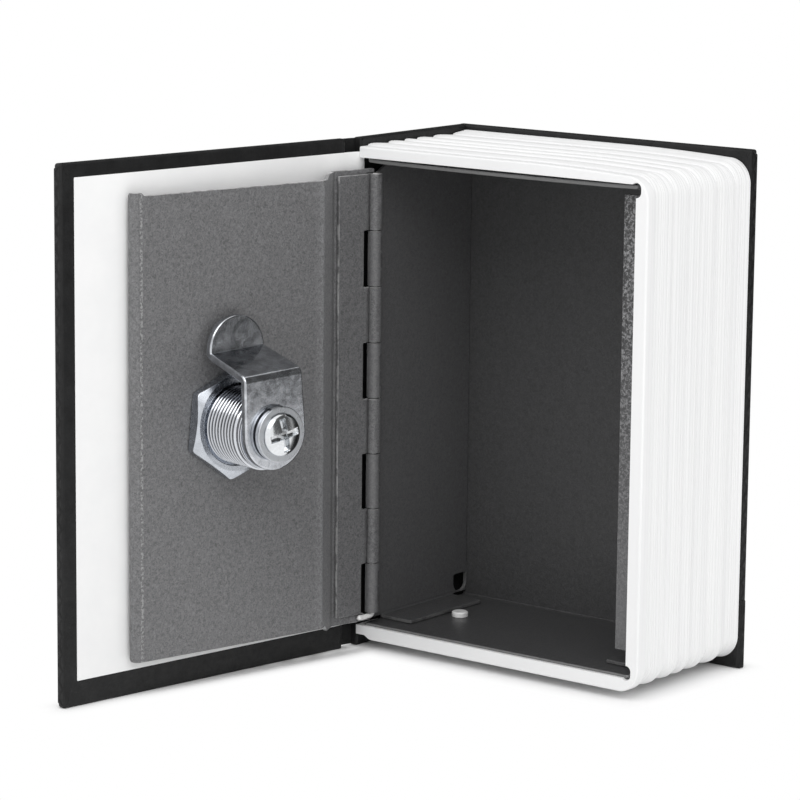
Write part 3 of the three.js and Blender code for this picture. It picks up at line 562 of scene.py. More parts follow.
def sheet_piece(name, loops, line, plane, thickness, edge, step=0.0006, spacing=0.004, warp=None):
    """A bent sheet. Its outline is in (length along the middle line, height). Its two faces are the
    outline filled with triangles, set off by half the thickness, and its edge is a half-round."""
    loops = [loop if (loop_area(loop) > 0) == (i == 0) else loop[::-1] for i, loop in enumerate(loops)]
    loops = [resample(loop, step) for loop in loops]
    every, out = np.concatenate(loops), np.concatenate([inward(loop) for loop in loops])
    low, high = every.min(0), every.max(0)
    length, middle, heading = line
    curved = length[(length > low[0]) & (length < high[0])]
    lengths, widths = (np.linspace(a, b, 2 + int((b - a) / spacing)) for a, b in zip(low, high))
    lengths = np.unique(np.concatenate((curved, lengths)))
    inner = [loop + inward(loop) * edge for loop in loops]
    places, triangles, rim = filled(inner, lengths, widths, 0.4 * step)
    count, half = len(places), thickness / 2
    angles = np.linspace(math.pi / 2, 0, 5)
    angles = np.concatenate((angles, -angles[::-1]))[1:-1, None]
    lift = np.sign(np.arange(len(angles)) - 3.5)[:, None] * (edge - half)
    ring_flat = every[None] + out[None] * edge * (1 - np.cos(angles))[..., None]
    ring_side = -out[None] * np.cos(angles)[..., None]
    flat = np.vstack((places, places, ring_flat.reshape(-1, 2)))
    side = np.vstack((np.zeros((2 * count, 2)), ring_side.reshape(-1, 2)))
    round_each = np.ones(len(every))
    height = np.concatenate((np.full(count, half), np.full(count, -half),
                             ((lift + edge * np.sin(angles)) * round_each).ravel()))
    rise = np.concatenate((np.ones(count), -np.ones(count), (np.sin(angles) * round_each).ravel()))
    rings = [rim] + [2 * count + row * len(every) + np.arange(len(every)) for row in range(len(angles))]
    rings.append(count + rim)
    walls, start = [], 0
    for loop in loops:
        here = start + np.arange(len(loop))
        ahead = start + (np.arange(len(loop)) + 1) % len(loop)
        walls += [np.stack((one[here], two[here], two[ahead], one[ahead]), axis=1)
                  for one, two in zip(rings[:-1], rings[1:])]
        start += len(loop)
    x, y, turn = (np.interp(flat[:, 0], length, values) for values in (middle[:, 0], middle[:, 1], heading))
    along = np.stack((np.cos(turn), np.sin(turn)), axis=1)
    over = np.stack((-np.sin(turn), np.cos(turn)), axis=1)
    ends = np.clip(flat[:, 0] - length[-1], 0, None) + np.clip(flat[:, 0] - length[0], None, 0)
    bent = np.stack((x, y), axis=1) + height[:, None] * over + ends[:, None] * along
    spot = (bent[:, 0], bent[:, 1], flat[:, 1])
    points = in_plane(plane, *(warp(*spot) if warp else spot))
    normal = in_plane((np.zeros(3), *plane[1:]), rise * over[:, 0] + side[:, 0] * along[:, 0],
                      rise * over[:, 1] + side[:, 0] * along[:, 1], side[:, 1])
    under = (triangles + count)[:, ::-1]
    tiles = np.concatenate(walls)
    if signed_volume(points, tiles) * signed_volume(points, np.vstack((triangles, under))) < 0:
        tiles = tiles[:, ::-1]
    piece = mesh_object(name, points, [triangles, under, tiles], normal)
    # The rounded edge ring's share, read by the enamel for rubbed paint and a painted edge highlight.
    mark(piece, "worn_and_lit_edge", np.linalg.norm(side, axis=1))
    return piece


def turned_piece(name, corners, radii, plane, facets=96, shape=None, sharp_degrees=None, closed=True):
    """A profile of (radius, depth) with rounded corners, turned about the depth axis of a plane."""
    profile, heading = rounded_path(corners, radii, closed=closed)
    angle = full_turn(facets)
    radius, depth = (np.repeat(profile[:, axis][:, None], facets, axis=1) for axis in (0, 1))
    normals = None
    if shape:
        radius, depth = shape(radius, depth, angle[None])
    else:
        sign = math.copysign(1.0, loop_area(profile))
        normals = round_axis((np.zeros(3), *plane[1:]), np.sin(heading)[:, None] * sign,
                             -np.cos(heading)[:, None] * sign * np.ones(facets), angle)
    points = round_axis(plane, radius, depth, angle)
    if closed:
        return mesh_object(name, points, [grid_faces(len(profile), facets, True)], normals, sharp_degrees)
    return capped(name, points, facets, normals, sharp_degrees)


def capped(name, points, columns, normals=None, sharp_degrees=None):
    """A grid of rings whose first and last are closed with a fan to their middle."""
    points = points.reshape(-1, 3)
    rows = len(points) // columns
    ring = np.arange(columns)
    ahead = (ring + 1) % columns
    base = (rows - 1) * columns
    fan_one = np.stack((np.full(columns, len(points)), ahead, ring), axis=1)
    fan_two = np.stack((np.full(columns, len(points) + 1), base + ring, base + ahead), axis=1)
    if normals is not None:
        normals = normals.reshape(-1, 3)
        normals = np.vstack((normals, normals[:columns].mean(0), normals[-columns:].mean(0)))
    points = np.vstack((points, points[:columns].mean(0), points[-columns:].mean(0)))
    return mesh_object(name, points, [grid_faces(rows, columns), fan_one, fan_two], normals, sharp_degrees)


def tube_piece(name, path, radii, facets=24):
    """A round bar along points, its radius given at each, with its ends closed."""
    along = np.gradient(path, axis=0)
    along /= np.linalg.norm(along, axis=1, keepdims=True)
    sideways = [np.cross(along[0], EAST if abs(along[0] @ UP) > 0.9 else UP)]
    sideways[0] /= np.linalg.norm(sideways[0])
    for tangent in along[1:]:
        carried = sideways[-1] - tangent * (sideways[-1] @ tangent)
        sideways.append(carried / np.linalg.norm(carried))
    sideways = np.array(sideways)
    angle = full_turn(facets)[None, :, None]
    ring = np.cos(angle) * sideways[:, None] + np.sin(angle) * np.cross(along, sideways)[:, None]
    return capped(name, path[:, None] + radii[:, None, None] * ring, facets, sharp_degrees=40)


def bevelled(piece, name, width, segments, limit):
    """Gives a piece rounded edges, by a modifier."""
    bevel = piece.modifiers.new(name, "BEVEL")
    bevel.width = width
    bevel.segments = segments
    bevel.limit_method = limit
    bevel.harden_normals = True
    return bevel


# Materials
def add_node(tree, kind, inputs=None, **settings):
    """A shader node with its settings, and inputs that are values or the sockets that feed them."""
    node = tree.nodes.new("ShaderNode" + kind)
    for name, value in settings.items():
        setattr(node, name, value)
    return feed(tree, node, inputs or {})


def feed(tree, node, inputs):
    """Gives each named input of a node its value or the socket that feeds it."""
    for name, value in inputs.items():
        if isinstance(value, bpy.types.NodeSocket):
            tree.links.new(value, node.inputs[name])
        else:
            node.inputs[name].default_value = value
    return node


class Finish:
    """A principled material. Its patterns sit on object coordinates, in metres."""

    def __init__(self, name, roughness, metallic=0.0, specular=0.5):
        """Even values first; paint, gloss and relief then put patterns over them."""
        self.material = bpy.data.materials.new(name)
        self.material.use_nodes = True
        self.tree = self.material.node_tree
        self.shader = self.tree.nodes["Principled BSDF"]
        self.feed({"Roughness": roughness, "Metallic": metallic, "Specular IOR Level": specular})
        self.place = self.node("TexCoord").outputs["Object"]
        self.bump = None

    def feed(self, inputs):
        """Feeds the shader itself."""
        feed(self.tree, self.shader, inputs)
        return self

    def node(self, kind, inputs=None, **settings):
        """A node of this material."""
        return add_node(self.tree, kind, inputs, **settings)

    def noise(self, scale, detail=3.0, roughness=0.55, distortion=0.0, stretch=None):
        """Cloudy noise with so many features a metre, multiplied along each axis by a stretch."""
        place = self.place
        if stretch:
            place = self.node("Mapping", {"Vector": place, "Scale": stretch}).outputs["Vector"]
        inputs = {"Vector": place, "Scale": scale, "Detail": detail, "Roughness": roughness,
                  "Distortion": distortion}
        return self.node("TexNoise", inputs).outputs["Fac"]

    def ramp(self, factor, *stops):
        """Colours or greys at positions along a factor."""
        node = self.node("ValToRGB", {"Fac": factor})
        elements = node.color_ramp.elements
        while len(elements) < len(stops):
            elements.new(0.5)
        for element, (position, colour) in zip(elements, stops):
            element.position = position
            element.color = (*colour, 1.0) if isinstance(colour, tuple) else (colour, colour, colour, 1.0)
        return node.outputs["Color"]

    def mix(self, one, two, factor=1.0, mode="MULTIPLY"):
        """Two colours mixed. The second may be a grey."""
        two = two if isinstance(two, bpy.types.NodeSocket) else (two, two, two, 1.0)
        inputs = {0: factor, 6: one, 7: two}
        return self.node("Mix", inputs, data_type="RGBA", blend_type=mode).outputs[2]

    def along(self, axis, start, end):
        """A share that goes from nothing to one between two places on an axis."""
        place = self.node("SeparateXYZ", {"Vector": self.place}).outputs[axis]
        return self.node("MapRange", {"Value": place, "From Min": start, "From Max": end}).outputs["Result"]

    def marked(self, name, *stops):
        """Greys along a value that a piece's points carry."""
        return self.ramp(self.node("Attribute", attribute_name=name).outputs["Fac"], *stops)

    def paint(self, colour):
        """Sets the base colour."""
        self.colour = colour
        return self.feed({"Base Color": colour})

    def gloss(self, factor, *stops):
        """Sets the roughness along a factor."""
        return self.feed({"Roughness": self.ramp(factor, *stops)})

    def relief(self, height, strength, distance):
        """Bump from a height, over any bump before it."""
        inputs = {"Height": height, "Strength": strength, "Distance": distance}
        if self.bump:
            inputs["Normal"] = self.bump
        self.bump = self.node("Bump", inputs).outputs["Normal"]
        return self.feed({"Normal": self.bump})

    def beyond(self, axis, start, end, grey, mode="MULTIPLY"):
        """Changes the colour beyond a place on an axis: multiplied by a factor, or mixed with a grey."""
        return self.paint(self.mix(self.colour, grey, self.along(axis, start, end), mode))

    def speckled(self, start, end):
        """Coarse pale and dark specks, coming in between two heights: the hammered texture, the pale ones
        also painted glints.
        """
        specks = self.ramp(self.noise(1500, 2.0, 0.5, 0.8), (0.38, 0.35), (0.5, 0.8), (0.62, 1.9))
        return self.paint(self.mix(self.colour, specks, self.along("Z", start, end)))

    def dotted(self, start, end, grey, fade=0.0002):
        """A row of spots rubbed thin between two places on the Y axis, the first nearer the hinge."""
        inside_row = self.mix(self.along("Y", start, start - fade), self.along("Y", end, end + fade))
        spots = self.ramp(self.noise(1500, 2.0), (0.49, 0.0), (0.56, 1.0))
        return self.paint(self.mix(self.colour, grey, self.mix(inside_row, spots), "MIX"))

    def painted_groove_shade(self):
        """Paints shade into the plate where the root value is high: the groove bottoms of the thread and the
        screw's recess go darker, where shade falls.
        """
        return self.paint(self.mix(self.colour, self.marked("root", (0.12, 1.0), (0.6, 0.06))))


def leatherette():
    """Black coated cloth: fine pebbled grain, a little uneven in tone, dull with a soft sheen."""
    cloth = Finish("leatherette", 0.5, specular=0.28)
    cloth.paint(cloth.ramp(cloth.noise(260, 4.0, 0.65), (0.3, (0.007, 0.007, 0.0072)),
                           (0.75, (0.0155, 0.0157, 0.016))))
    cloth.gloss(cloth.noise(900), (0.3, 0.42), (0.7, 0.62))
    pebbles = cloth.node("TexVoronoi", feature="SMOOTH_F1")
    feed(cloth.tree, pebbles, {"Vector": cloth.place, "Scale": 2300, "Smoothness": 0.6})
    cloth.relief(pebbles.outputs["Distance"], 0.5, 0.00006)
    return cloth.relief(cloth.noise(700, 3.0, 0.6), 0.35, 0.00008)


def white_paper():
    """Smooth white endpaper with the faintest cloudiness and fibre."""
    paper = Finish("endpaper", 0.55, specular=0.3)
    cloud = paper.noise(120, 5.0, 0.6)
    paper.paint(paper.ramp(cloud, (0.35, (0.88, 0.882, 0.883)), (0.7, (0.91, 0.91, 0.908))))
    paper.relief(paper.noise(45, 2.0), 0.25, 0.0004)
    return paper.relief(paper.noise(4200, 4.0, 0.7, stretch=(1.0, 1.0, 0.3)), 0.25, 0.00003)


def page_plastic():
    """White moulded plastic: even, softly glossy, with faint draw lines along the pages."""
    plastic = Finish("page_plastic", 0.42, specular=0.4)
    streaks = plastic.noise(1500, 3.0, 0.5, stretch=(0.01, 1.0, 0.01))
    plastic.paint(plastic.ramp(streaks, (0.3, (0.8, 0.802, 0.806)), (0.62, (0.85, 0.851, 0.852))))
    plastic.gloss(plastic.noise(300), (0.3, 0.36), (0.7, 0.5))
    return plastic.relief(streaks, 0.2, 0.00006)


def hammered_paint(name, grey, size=1400, contrast=0.18, edge_wear_and_highlight=0.4):
    """Hammer enamel: darker pools between lighter worms, an orange-peel gloss, and a paler grey in patches
    along the cut edges, whose points carry the edge value: partly paint rubbed thin, partly a painted
    highlight where the rounded edges catch the light."""
    enamel = Finish(name, 0.36)
    worms = enamel.noise(size, 2.5, 0.6, 1.2)
    fine = enamel.noise(3600, 3.0, 0.7)
    stops = zip((0.34, 0.5, 0.68), (grey * (1 - contrast), grey, grey * (1 + contrast)))
    tone = enamel.ramp(worms, *((place, (tint, tint, 1.02 * tint)) for place, tint in stops))
    speckle = enamel.ramp(fine, (0.3, (0.36, 0.36, 0.36)), (0.7, (0.64, 0.64, 0.645)))
    patches = enamel.ramp(enamel.noise(420), (0.42, 0.15), (0.58, 1.0))
    # Paler edge patches: partly paint rubbed thin, partly a painted highlight on the rounded edges.
    rubbed = enamel.mix(enamel.marked("worn_and_lit_edge", (0.3, 0.0), (0.9, 1.0)), patches)
    enamel.paint(enamel.mix(enamel.mix(tone, speckle, 0.5, "OVERLAY"), edge_wear_and_highlight, rubbed, "MIX"))
    enamel.gloss(fine, (0.3, 0.28), (0.75, 0.5))
    enamel.relief(worms, 0.6, 0.0001)
    return enamel.relief(fine, 0.4, 0.00003)


def on_door(reach):
    """The Y of a place on the open door's panel, by its reach from the hinge."""
    return float(in_plane(door_plane, reach, DOOR_PANEL_CENTRE, 0.0)[1])


def zinc(name, tint, roughness, scratch=0.12, cloudy=0.86):
    """Bright zinc plate: cloudy gloss, fine draw marks and small scratches."""
    plate = Finish(name, roughness, 1.0)
    cloud = plate.noise(420, 4.0, 0.6, 0.6)
    plate.paint(plate.ramp(cloud, (0.3, tuple(cloudy * part for part in tint)), (0.7, tint)))
    marks = plate.noise(5200, 3.0, 0.7, stretch=(1.0, 1.0, 0.12))
    both = plate.mix(cloud, marks, 0.5, "MIX")
    plate.gloss(both, (0.3, max(roughness - 0.08, 0.03)), (0.7, roughness + 0.1))
    plate.relief(plate.noise(750, 2.0), scratch, 0.00012)
    return plate.relief(marks, scratch, 0.00002)


def plain_metal(name, tint, roughness, metallic=1.0):
    """Bare machined or drawn metal with fine turning marks."""
    metal = Finish(name, roughness, metallic)
    metal.paint(metal.ramp(metal.noise(900), (0.3, tuple(0.8 * part for part in tint)), (0.7, tint)))
    return metal.relief(metal.noise(2500, 2.0, stretch=(1.0, 1.0, 6.0)), 0.15, 0.00003)


def greyboard():
    """Raw grey board with its fibres."""
    board = Finish("greyboard", 0.95, specular=0.2)
    fibre = board.noise(1500, 5.0, 0.7)
    board.paint(board.ramp(fibre, (0.3, (0.19, 0.175, 0.15)), (0.7, (0.3, 0.28, 0.24))))
    return board.relief(fibre, 0.4, 0.00008)


LEATHERETTE = leatherette()
PAPER = white_paper()
PLASTIC = page_plastic()
# The slope between the strip and the panel is painted lighter by that factor, and the panel is brought back:
# painted light on the slope.
DOOR_PAINT = (hammered_paint("door_paint", 0.15, 1700, 0.34)
              .beyond("Y", on_door(DOOR_STRIP_END), on_door(DOOR_STRIP_END + 0.001), SLOPE_PAINTED_LIGHT)
              .beyond("Y", on_door(DOOR_PANEL_START - 0.001), on_door(DOOR_PANEL_START + 0.003),
                      1 / SLOPE_PAINTED_LIGHT)
              .dotted(on_door(DOOR_PANEL_END - 0.0021), on_door(DOOR_PANEL_END - 0.0012), 0.3))
# The box takes a darker copy of the door's enamel, the same paint: painted shade inside the box. The side
# plate's front, with its knuckles, is painted 1.42 times lighter again: painted light where the knuckles
# catch it.
SIDE_PAINT = (hammered_paint("side_paint", 0.09, edge_wear_and_highlight=0.14)
              .beyond("Y", hinge_place[1] + 0.0026, hinge_place[1] + 0.002, 1.42))
# The floor tabs: a darker copy of the box enamel, painted shade.
TAB_PAINT = hammered_paint("tab_paint", 0.068, edge_wear_and_highlight=0.12)
# The leaf: a darker copy of the door's enamel, painted shade that tones down its lit knuckles.
LEAF_PAINT = hammered_paint("leaf_paint", 0.132, 1700, 0.34)
# The tray (floor, back and top): a darker copy of the enamel, painted shade, with its front edge mixed to a
# paler grey as a painted highlight on the rounded edge.
TRAY_PAINT = (hammered_paint("tray_paint", 0.061)
              .beyond("Y", tray_low.y + 0.00016, tray_low.y + 0.00006, 0.16, "MIX"))
# The lock side plate, seen as its lip: a lighter copy of the box enamel, painted light and a painted
# reflection of the white endpaper, with specks that are partly texture and partly painted glints.
LIP_PAINT = hammered_paint("lip_paint", 0.125, 1500, 0.2, 0.2).speckled(0.02, 0.085)
ZINC = zinc("zinc_plate", (0.68, 0.7, 0.74), 0.15)
ZINC_THREAD = zinc("zinc_thread", (0.72, 0.74, 0.78), 0.12, 0.06).painted_groove_shade()
ZINC_CAM = zinc("zinc_cam", (0.7, 0.72, 0.76), 0.17, 0.1, 0.6)
ZINC_WASHER = zinc("zinc_washer", (0.64, 0.66, 0.69), 0.3)
# The nut: a darker copy of the zinc, painted shade for its dark side face.
ZINC_NUT = zinc("zinc_nut", (0.64, 0.67, 0.72), 0.24, 0.08, 0.76)
ZINC_SCREW = zinc("zinc_screw", (0.86, 0.88, 0.9), 0.14, 0.06).painted_groove_shade()
RIVET_METAL = plain_metal("rivet_metal", (0.95, 0.95, 0.94), 0.4, 0.15)
BRASS = plain_metal("lock_brass", (0.76, 0.6, 0.28), 0.28)
SPRING_STEEL = plain_metal("spring_steel", (0.6, 0.61, 0.63), 0.3)
GREYBOARD = greyboard()


def finish_piece(piece, body, finish, slot, *replaced):
    """Gives a piece its finish, hangs it on its body and hides the nodes it stands for."""
    piece.data.materials.clear()
    piece.data.materials.append(finish.material)
    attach(piece, body)
    if replaced:
        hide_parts(*replaced)


# Covers and spine
def cover_board(name, plane, start, end, corners):
    """A board in its wrap: a slab whose edges are half rounded."""
    line = fold_line([(start, COVER_THICKNESS / 2), (end, COVER_THICKNESS / 2)])
    loop = rectangle(0.0, end - start, 0.0, book_height, corners)
    return sheet_piece(name, [loop], line, plane, COVER_THICKNESS, COVER_EDGE_RADIUS, spacing=BOARD_SPACING)


def cover_flap(name, plane):
    """The fore-edge turn-in: a strip folded round the edge, its ends cut on a slant over the others."""
    inner = COVER_THICKNESS + FLAP_PROUD - WRAP / 2
    outer = book_width + FLAP_PROUD
    line = fold_line([(book_width - FLAP_REACH, inner), (outer, inner), (outer, WRAP)], (0, FLAP_BEND, 0))
    shoulder, end = length_at(line, outer - FLAP_CORNER), line[0][-1]
    low, high = FLAP_TOP_GAP, book_height - FLAP_TOP_GAP
    corners = [(0.0, low + FLAP_SLANT), (shoulder, low), (end, low + FLAP_CORNER),
               (end, high - FLAP_CORNER), (shoulder, high), (0.0, high - FLAP_SLANT)]
    return sheet_piece(name, [closed_loop(corners, FLAP_RADII)], line, plane, WRAP, WRAP_EDGE)


def corner_fold(name, plane):
    """A doubled fold of leatherette that stands a little out of the fore edge at the foot."""
    inner = COVER_THICKNESS - WRAP
    outer = book_width + FOLD_PROUD
    corners = [(book_width - FLAP_CORNER, inner), (outer, inner), (outer, 2 * WRAP)]
    line = fold_line(corners, (0, FOLD_BEND, 0))
    loop = rectangle(0.0, line[0][-1], FLAP_TOP_GAP, FOLD_HEIGHT, FOLD_CORNER)
    return sheet_piece(name, [loop], line, plane, WRAP, WRAP_EDGE)


def cover_endpaper(name, plane, start):
    """White paper pasted over the turn-ins, a hair proud of them, with its edges pressed down."""
    depth = COVER_THICKNESS + ENDPAPER_PROUD + FLAP_PROUD - ENDPAPER / 2
    line = fold_line([(start, depth), (book_width - BORDER_FORE, depth)])
    loop = rectangle(0.0, line[0][-1], BORDER_BOTTOM, book_height - BORDER_TOP, PAPER_CORNERS)
    return sheet_piece(name, [loop], line, plane, ENDPAPER, ENDPAPER_EDGE, spacing=BOARD_SPACING)


def make_case():
    """Both covers and the spine."""
    finish_piece(cover_board("front_cover_case", front_cover_plane, JOINT_EDGE, book_width, COVER_CORNERS),
                 "front_cover", LEATHERETTE, "leatherette", "front_cover_wrap")
    finish_piece(cover_flap("front_cover_turn_in", front_cover_plane), "front_cover", LEATHERETTE,
                 "leatherette")
    finish_piece(cover_endpaper("front_cover_endpaper", front_cover_plane, JOINT_EDGE + COVER_THICKNESS),
                 "front_cover", PAPER, "endpaper", "front_endpaper")
    finish_piece(cover_board("back_cover_case", back_cover_plane, 0.0, book_width, COVER_CORNERS), "case",
                 LEATHERETTE, "leatherette", "back_cover_wrap")
    finish_piece(cover_flap("back_cover_turn_in", back_cover_plane), "case", LEATHERETTE, "leatherette")
    finish_piece(corner_fold("back_corner_fold", back_cover_plane), "case", LEATHERETTE, "leatherette")
    finish_piece(cover_board("spine_case", spine_plane, SPINE_FRONT, book_back - book_front - SPINE_BACK_GAP,
                             SPINE_CORNER), "case", LEATHERETTE, "leatherette", "spine_wrap")


def joint_strip(name, path, thickness, low, high, finish, node):
    """A strip along a smooth curved path, between the case and the front cover."""
    line = with_length(*smooth_line(path))
    loop = rectangle(0.0, line[0][-1], low, high, thickness / 3)
    piece = sheet_piece(name, [loop], line, world_plane, thickness, thickness * 0.4, step=0.0004)
    piece.data.materials.append(finish.material)
    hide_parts(node)
    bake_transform(piece)


def smooth_line(path, count=60):
    """A curve through points: each coordinate a cubic of chord length, by Catmull's rule."""
    path = np.asarray(path, float)
    padded = np.vstack((2 * path[0] - path[1], path, 2 * path[-1] - path[-2]))
    share = np.linspace(0, len(path) - 1, count)
    index = np.minimum(share.astype(int), len(path) - 2)
    t = (share - index)[:, None]
    a, b, c, d = (padded[index + k] for k in range(4))
    points = 0.5 * (2 * b + (c - a) * t + (2 * a - 5 * b + 4 * c - d) * t ** 2
                    + (3 * b - a - 3 * c + d) * t ** 3)
    along = np.gradient(points, axis=0)
    return points, np.unwrap(np.arctan2(along[:, 1], along[:, 0]))


def make_joints():
    """The leatherette outside the hinge of the cover, and the fold of the endpaper inside it."""
    half = WRAP / 2
    sunk = half + JOINT_SINK
    outside = [(book_left + sunk, book_front + 0.0055), (book_left + sunk, book_front + 0.0042),
               (book_left + sunk, book_front + SPINE_FRONT), (book_left - 0.0001, book_front + 0.0019),
               on_open_cover(JOINT_EDGE * 0.6, half), on_open_cover(JOINT_EDGE * 1.6, sunk),
               on_open_cover(JOINT_EDGE * 2.6, sunk)]
    joint_strip("outer_joint", outside, WRAP, 0.0002, book_height - 0.0002, LEATHERETTE,
                "joint_cloth")
    face = COVER_THICKNESS + ENDPAPER_PROUD + FLAP_PROUD - ENDPAPER
    gutter = book_left + COVER_THICKNESS + 0.00012
    inside_fold = [*(on_open_cover(x, face) for x in (0.0055, 0.0042, 0.003)),
                   (gutter - 0.0008, book_front - 0.0002), (gutter, book_front + 0.0026),
                   (gutter, book_front + 0.0036), (gutter, book_front + 0.0044)]
    joint_strip("endpaper_fold", inside_fold, ENDPAPER, BORDER_BOTTOM, book_height - BORDER_TOP, PAPER,
                "joint_endpaper")


# Page block
def leaning_rib(share):
    """A rib's fall from its crest, which lies near its start: one less the sine of a bent share of pi."""
    return 1 - np.sin(math.pi * np.clip(share, 0, 1) ** RIB_LEAN)


def page_sink(y):
    """How far the block's top and its foot lie in at each depth: leaning ribs between valleys, and on them
    the finer arcs of single pages, whose widths are drawn at random from a fixed seed."""
    valleys = block_low.y + (block_high.y - block_low.y) * np.array(RIB_SHARES)
    top = np.full_like(y, RIB_DEPTH)
    foot = FOOT_RIB_DEPTH * np.clip((y - valleys[0]) / RIB_STEP, 0, 1)
    random = np.random.default_rng(PAGE_LINE_SEED)
    for low, high in zip(valleys[:-1], valleys[1:]):
        here = (y >= low) & (y <= high)
        share = np.clip((y[here] - low) / (high - low), 0, 1)
        edges = np.concatenate(([0.0], np.cumsum(random.uniform(*PAGE_LINE_WIDTHS, PAGE_LINE_DRAWS))))
        edges = np.append(edges[edges < high - low - PAGE_LINE_WIDTHS[0] / 2], high - low)
        index = np.clip(np.searchsorted(edges, y[here] - low, side="right") - 1, 0, len(edges) - 2)
        page = (y[here] - low - edges[index]) / (edges[index + 1] - edges[index])
        line = PAGE_LINE_DEPTH * (2 * page - 1) ** 2
        top[here] = RIB_DEPTH * leaning_rib(share) + line
        foot[here] = np.minimum(FOOT_RIB_DEPTH * leaning_rib(1 - share), foot[here]) + line
    rise = LAST_RIB_RISE * np.clip((y - valleys[-2]) / (block_high.y - valleys[-2]), 0, 1) ** 2
    return top - rise, foot - rise, rise


def block_body():
    """The ribbed outside as a grid: depth along one way, the outline from foot to head along the other."""
    start = block_low.y + BLOCK_FRONT_ROUND
    y = np.append(np.arange(start, block_high.y, BLOCK_STATION), block_high.y)
    turn = np.linspace(math.pi / 2, 0, 6)[:-1]
    extra = np.concatenate((np.array([2.0, 1.15]), 1 - np.cos(turn))) * BLOCK_FRONT_ROUND
    top, foot, rise = page_sink(y)
    top, foot = (np.concatenate((sink[0] + extra, sink))[:, None] for sink in (top, foot))
    rise = np.concatenate((np.zeros(len(extra)), rise))[:, None]
    y = np.concatenate((np.full(2, block_low.y), start - BLOCK_FRONT_ROUND * np.sin(turn), y))
    corner = np.linspace(0, math.pi / 2, 22)
    cos, sin = np.cos(corner), np.sin(corner)
    left, right = block_low.x, block_right - BLOCK_CORNER
    low, high = block_bottom + BLOCK_CORNER, block_top - BLOCK_DROOP - BLOCK_CORNER
    along = np.linspace(0, 1, 24)[None] * np.ones((len(y), 1))
    foot_x = left + (right - left) * along[:, :-1]
    head_x = right + (left - right) * along[:, 1:]
    edge_z = low + (high - low) * along[:, 1:-1]
    drooping = np.clip((head_x - right) / BLOCK_DROOP_REACH + 1, 0, 1)
    edge_x = block_right - (top + foot + rise) / 2 * np.ones_like(edge_z)
    low_radius = BLOCK_CORNER - foot - (top - foot) * (1 - cos) / 2 - rise * sin ** 2 / 2
    high_radius = BLOCK_CORNER - foot - (top - foot) * (1 + sin) / 2 - rise * cos ** 2 / 2
    x = np.hstack((foot_x, right + low_radius * sin, edge_x, right + high_radius * cos, head_x))
    z = np.hstack(((block_bottom + foot) * np.ones_like(foot_x), low - low_radius * cos, edge_z,
                   high + high_radius * sin, block_top - BLOCK_DROOP * drooping ** 2 - top))
    points = np.stack((x, y[:, None] * np.ones_like(x), z), axis=-1).reshape(-1, 3)
    rows, columns = x.shape
    faces = grid_faces(rows, columns)
    ends = [list(range(columns))[::-1], list(range((rows - 1) * columns, rows * columns))]
    piece = add_mesh("page_shell", points, faces.tolist() + ends)
    if signed_volume(points, faces) < 0:
        piece.data.flip_normals()
    return piece


def prism(outline, y0, y1):
    """A straight block to cut with, from an outline in x and z."""
    count = len(outline)
    points = np.vstack([np.column_stack((outline[:, 0], np.full(count, y), outline[:, 1])) for y in (y0, y1)])
    here, ahead = np.arange(count), (np.arange(count) + 1) % count
    walls = np.stack((here, ahead, ahead + count, here + count), axis=1)
    faces = walls.tolist() + [list(range(count))[::-1], list(range(count, 2 * count))]
    if signed_volume(points, walls) < 0:
        faces = [face[::-1] for face in faces]
    return add_mesh("cutter", points, faces)


def cutter_box(x0, x1, y0, y1, z0, z1, radius=0.00005):
    """A block to cut with, its corners in x and z rounded."""
    return prism(rectangle(x0, x1, z0, z1, radius), y0, y1)


def corner_cutter():
    """A wedge that clips the shell's lower corner by the spine, where the joint folds under it."""
    x0, z0, over = block_low.x, block_bottom, CUT_OVERRUN
    outline = np.array(((x0 - over, z0 - over), (x0 + CORNER_CLIP[0], z0 - over), (x0 + CORNER_CLIP[0], z0),
                        (x0 + CORNER_CLIP[1], z0 + CORNER_CLIP[2]), (x0 - over, z0 + CORNER_CLIP[3])))
    return prism(outline, block_low.y - over, block_low.y + CORNER_CLIP_DEPTH)


def cut(piece, cutters):
    """Takes each cutter out of the piece and deletes it."""
    for cutter in cutters:
        modifier = piece.modifiers.new("cut", "BOOLEAN")
        modifier.operation = "DIFFERENCE"
        modifier.solver = "MANIFOLD"
        modifier.object = cutter
        bpy.context.view_layer.update()
        evaluated = piece.evaluated_get(bpy.context.evaluated_depsgraph_get())
        mesh = bpy.data.meshes.new_from_object(evaluated)
        piece.modifiers.clear()
        piece.data = mesh
        bpy.data.objects.remove(cutter)


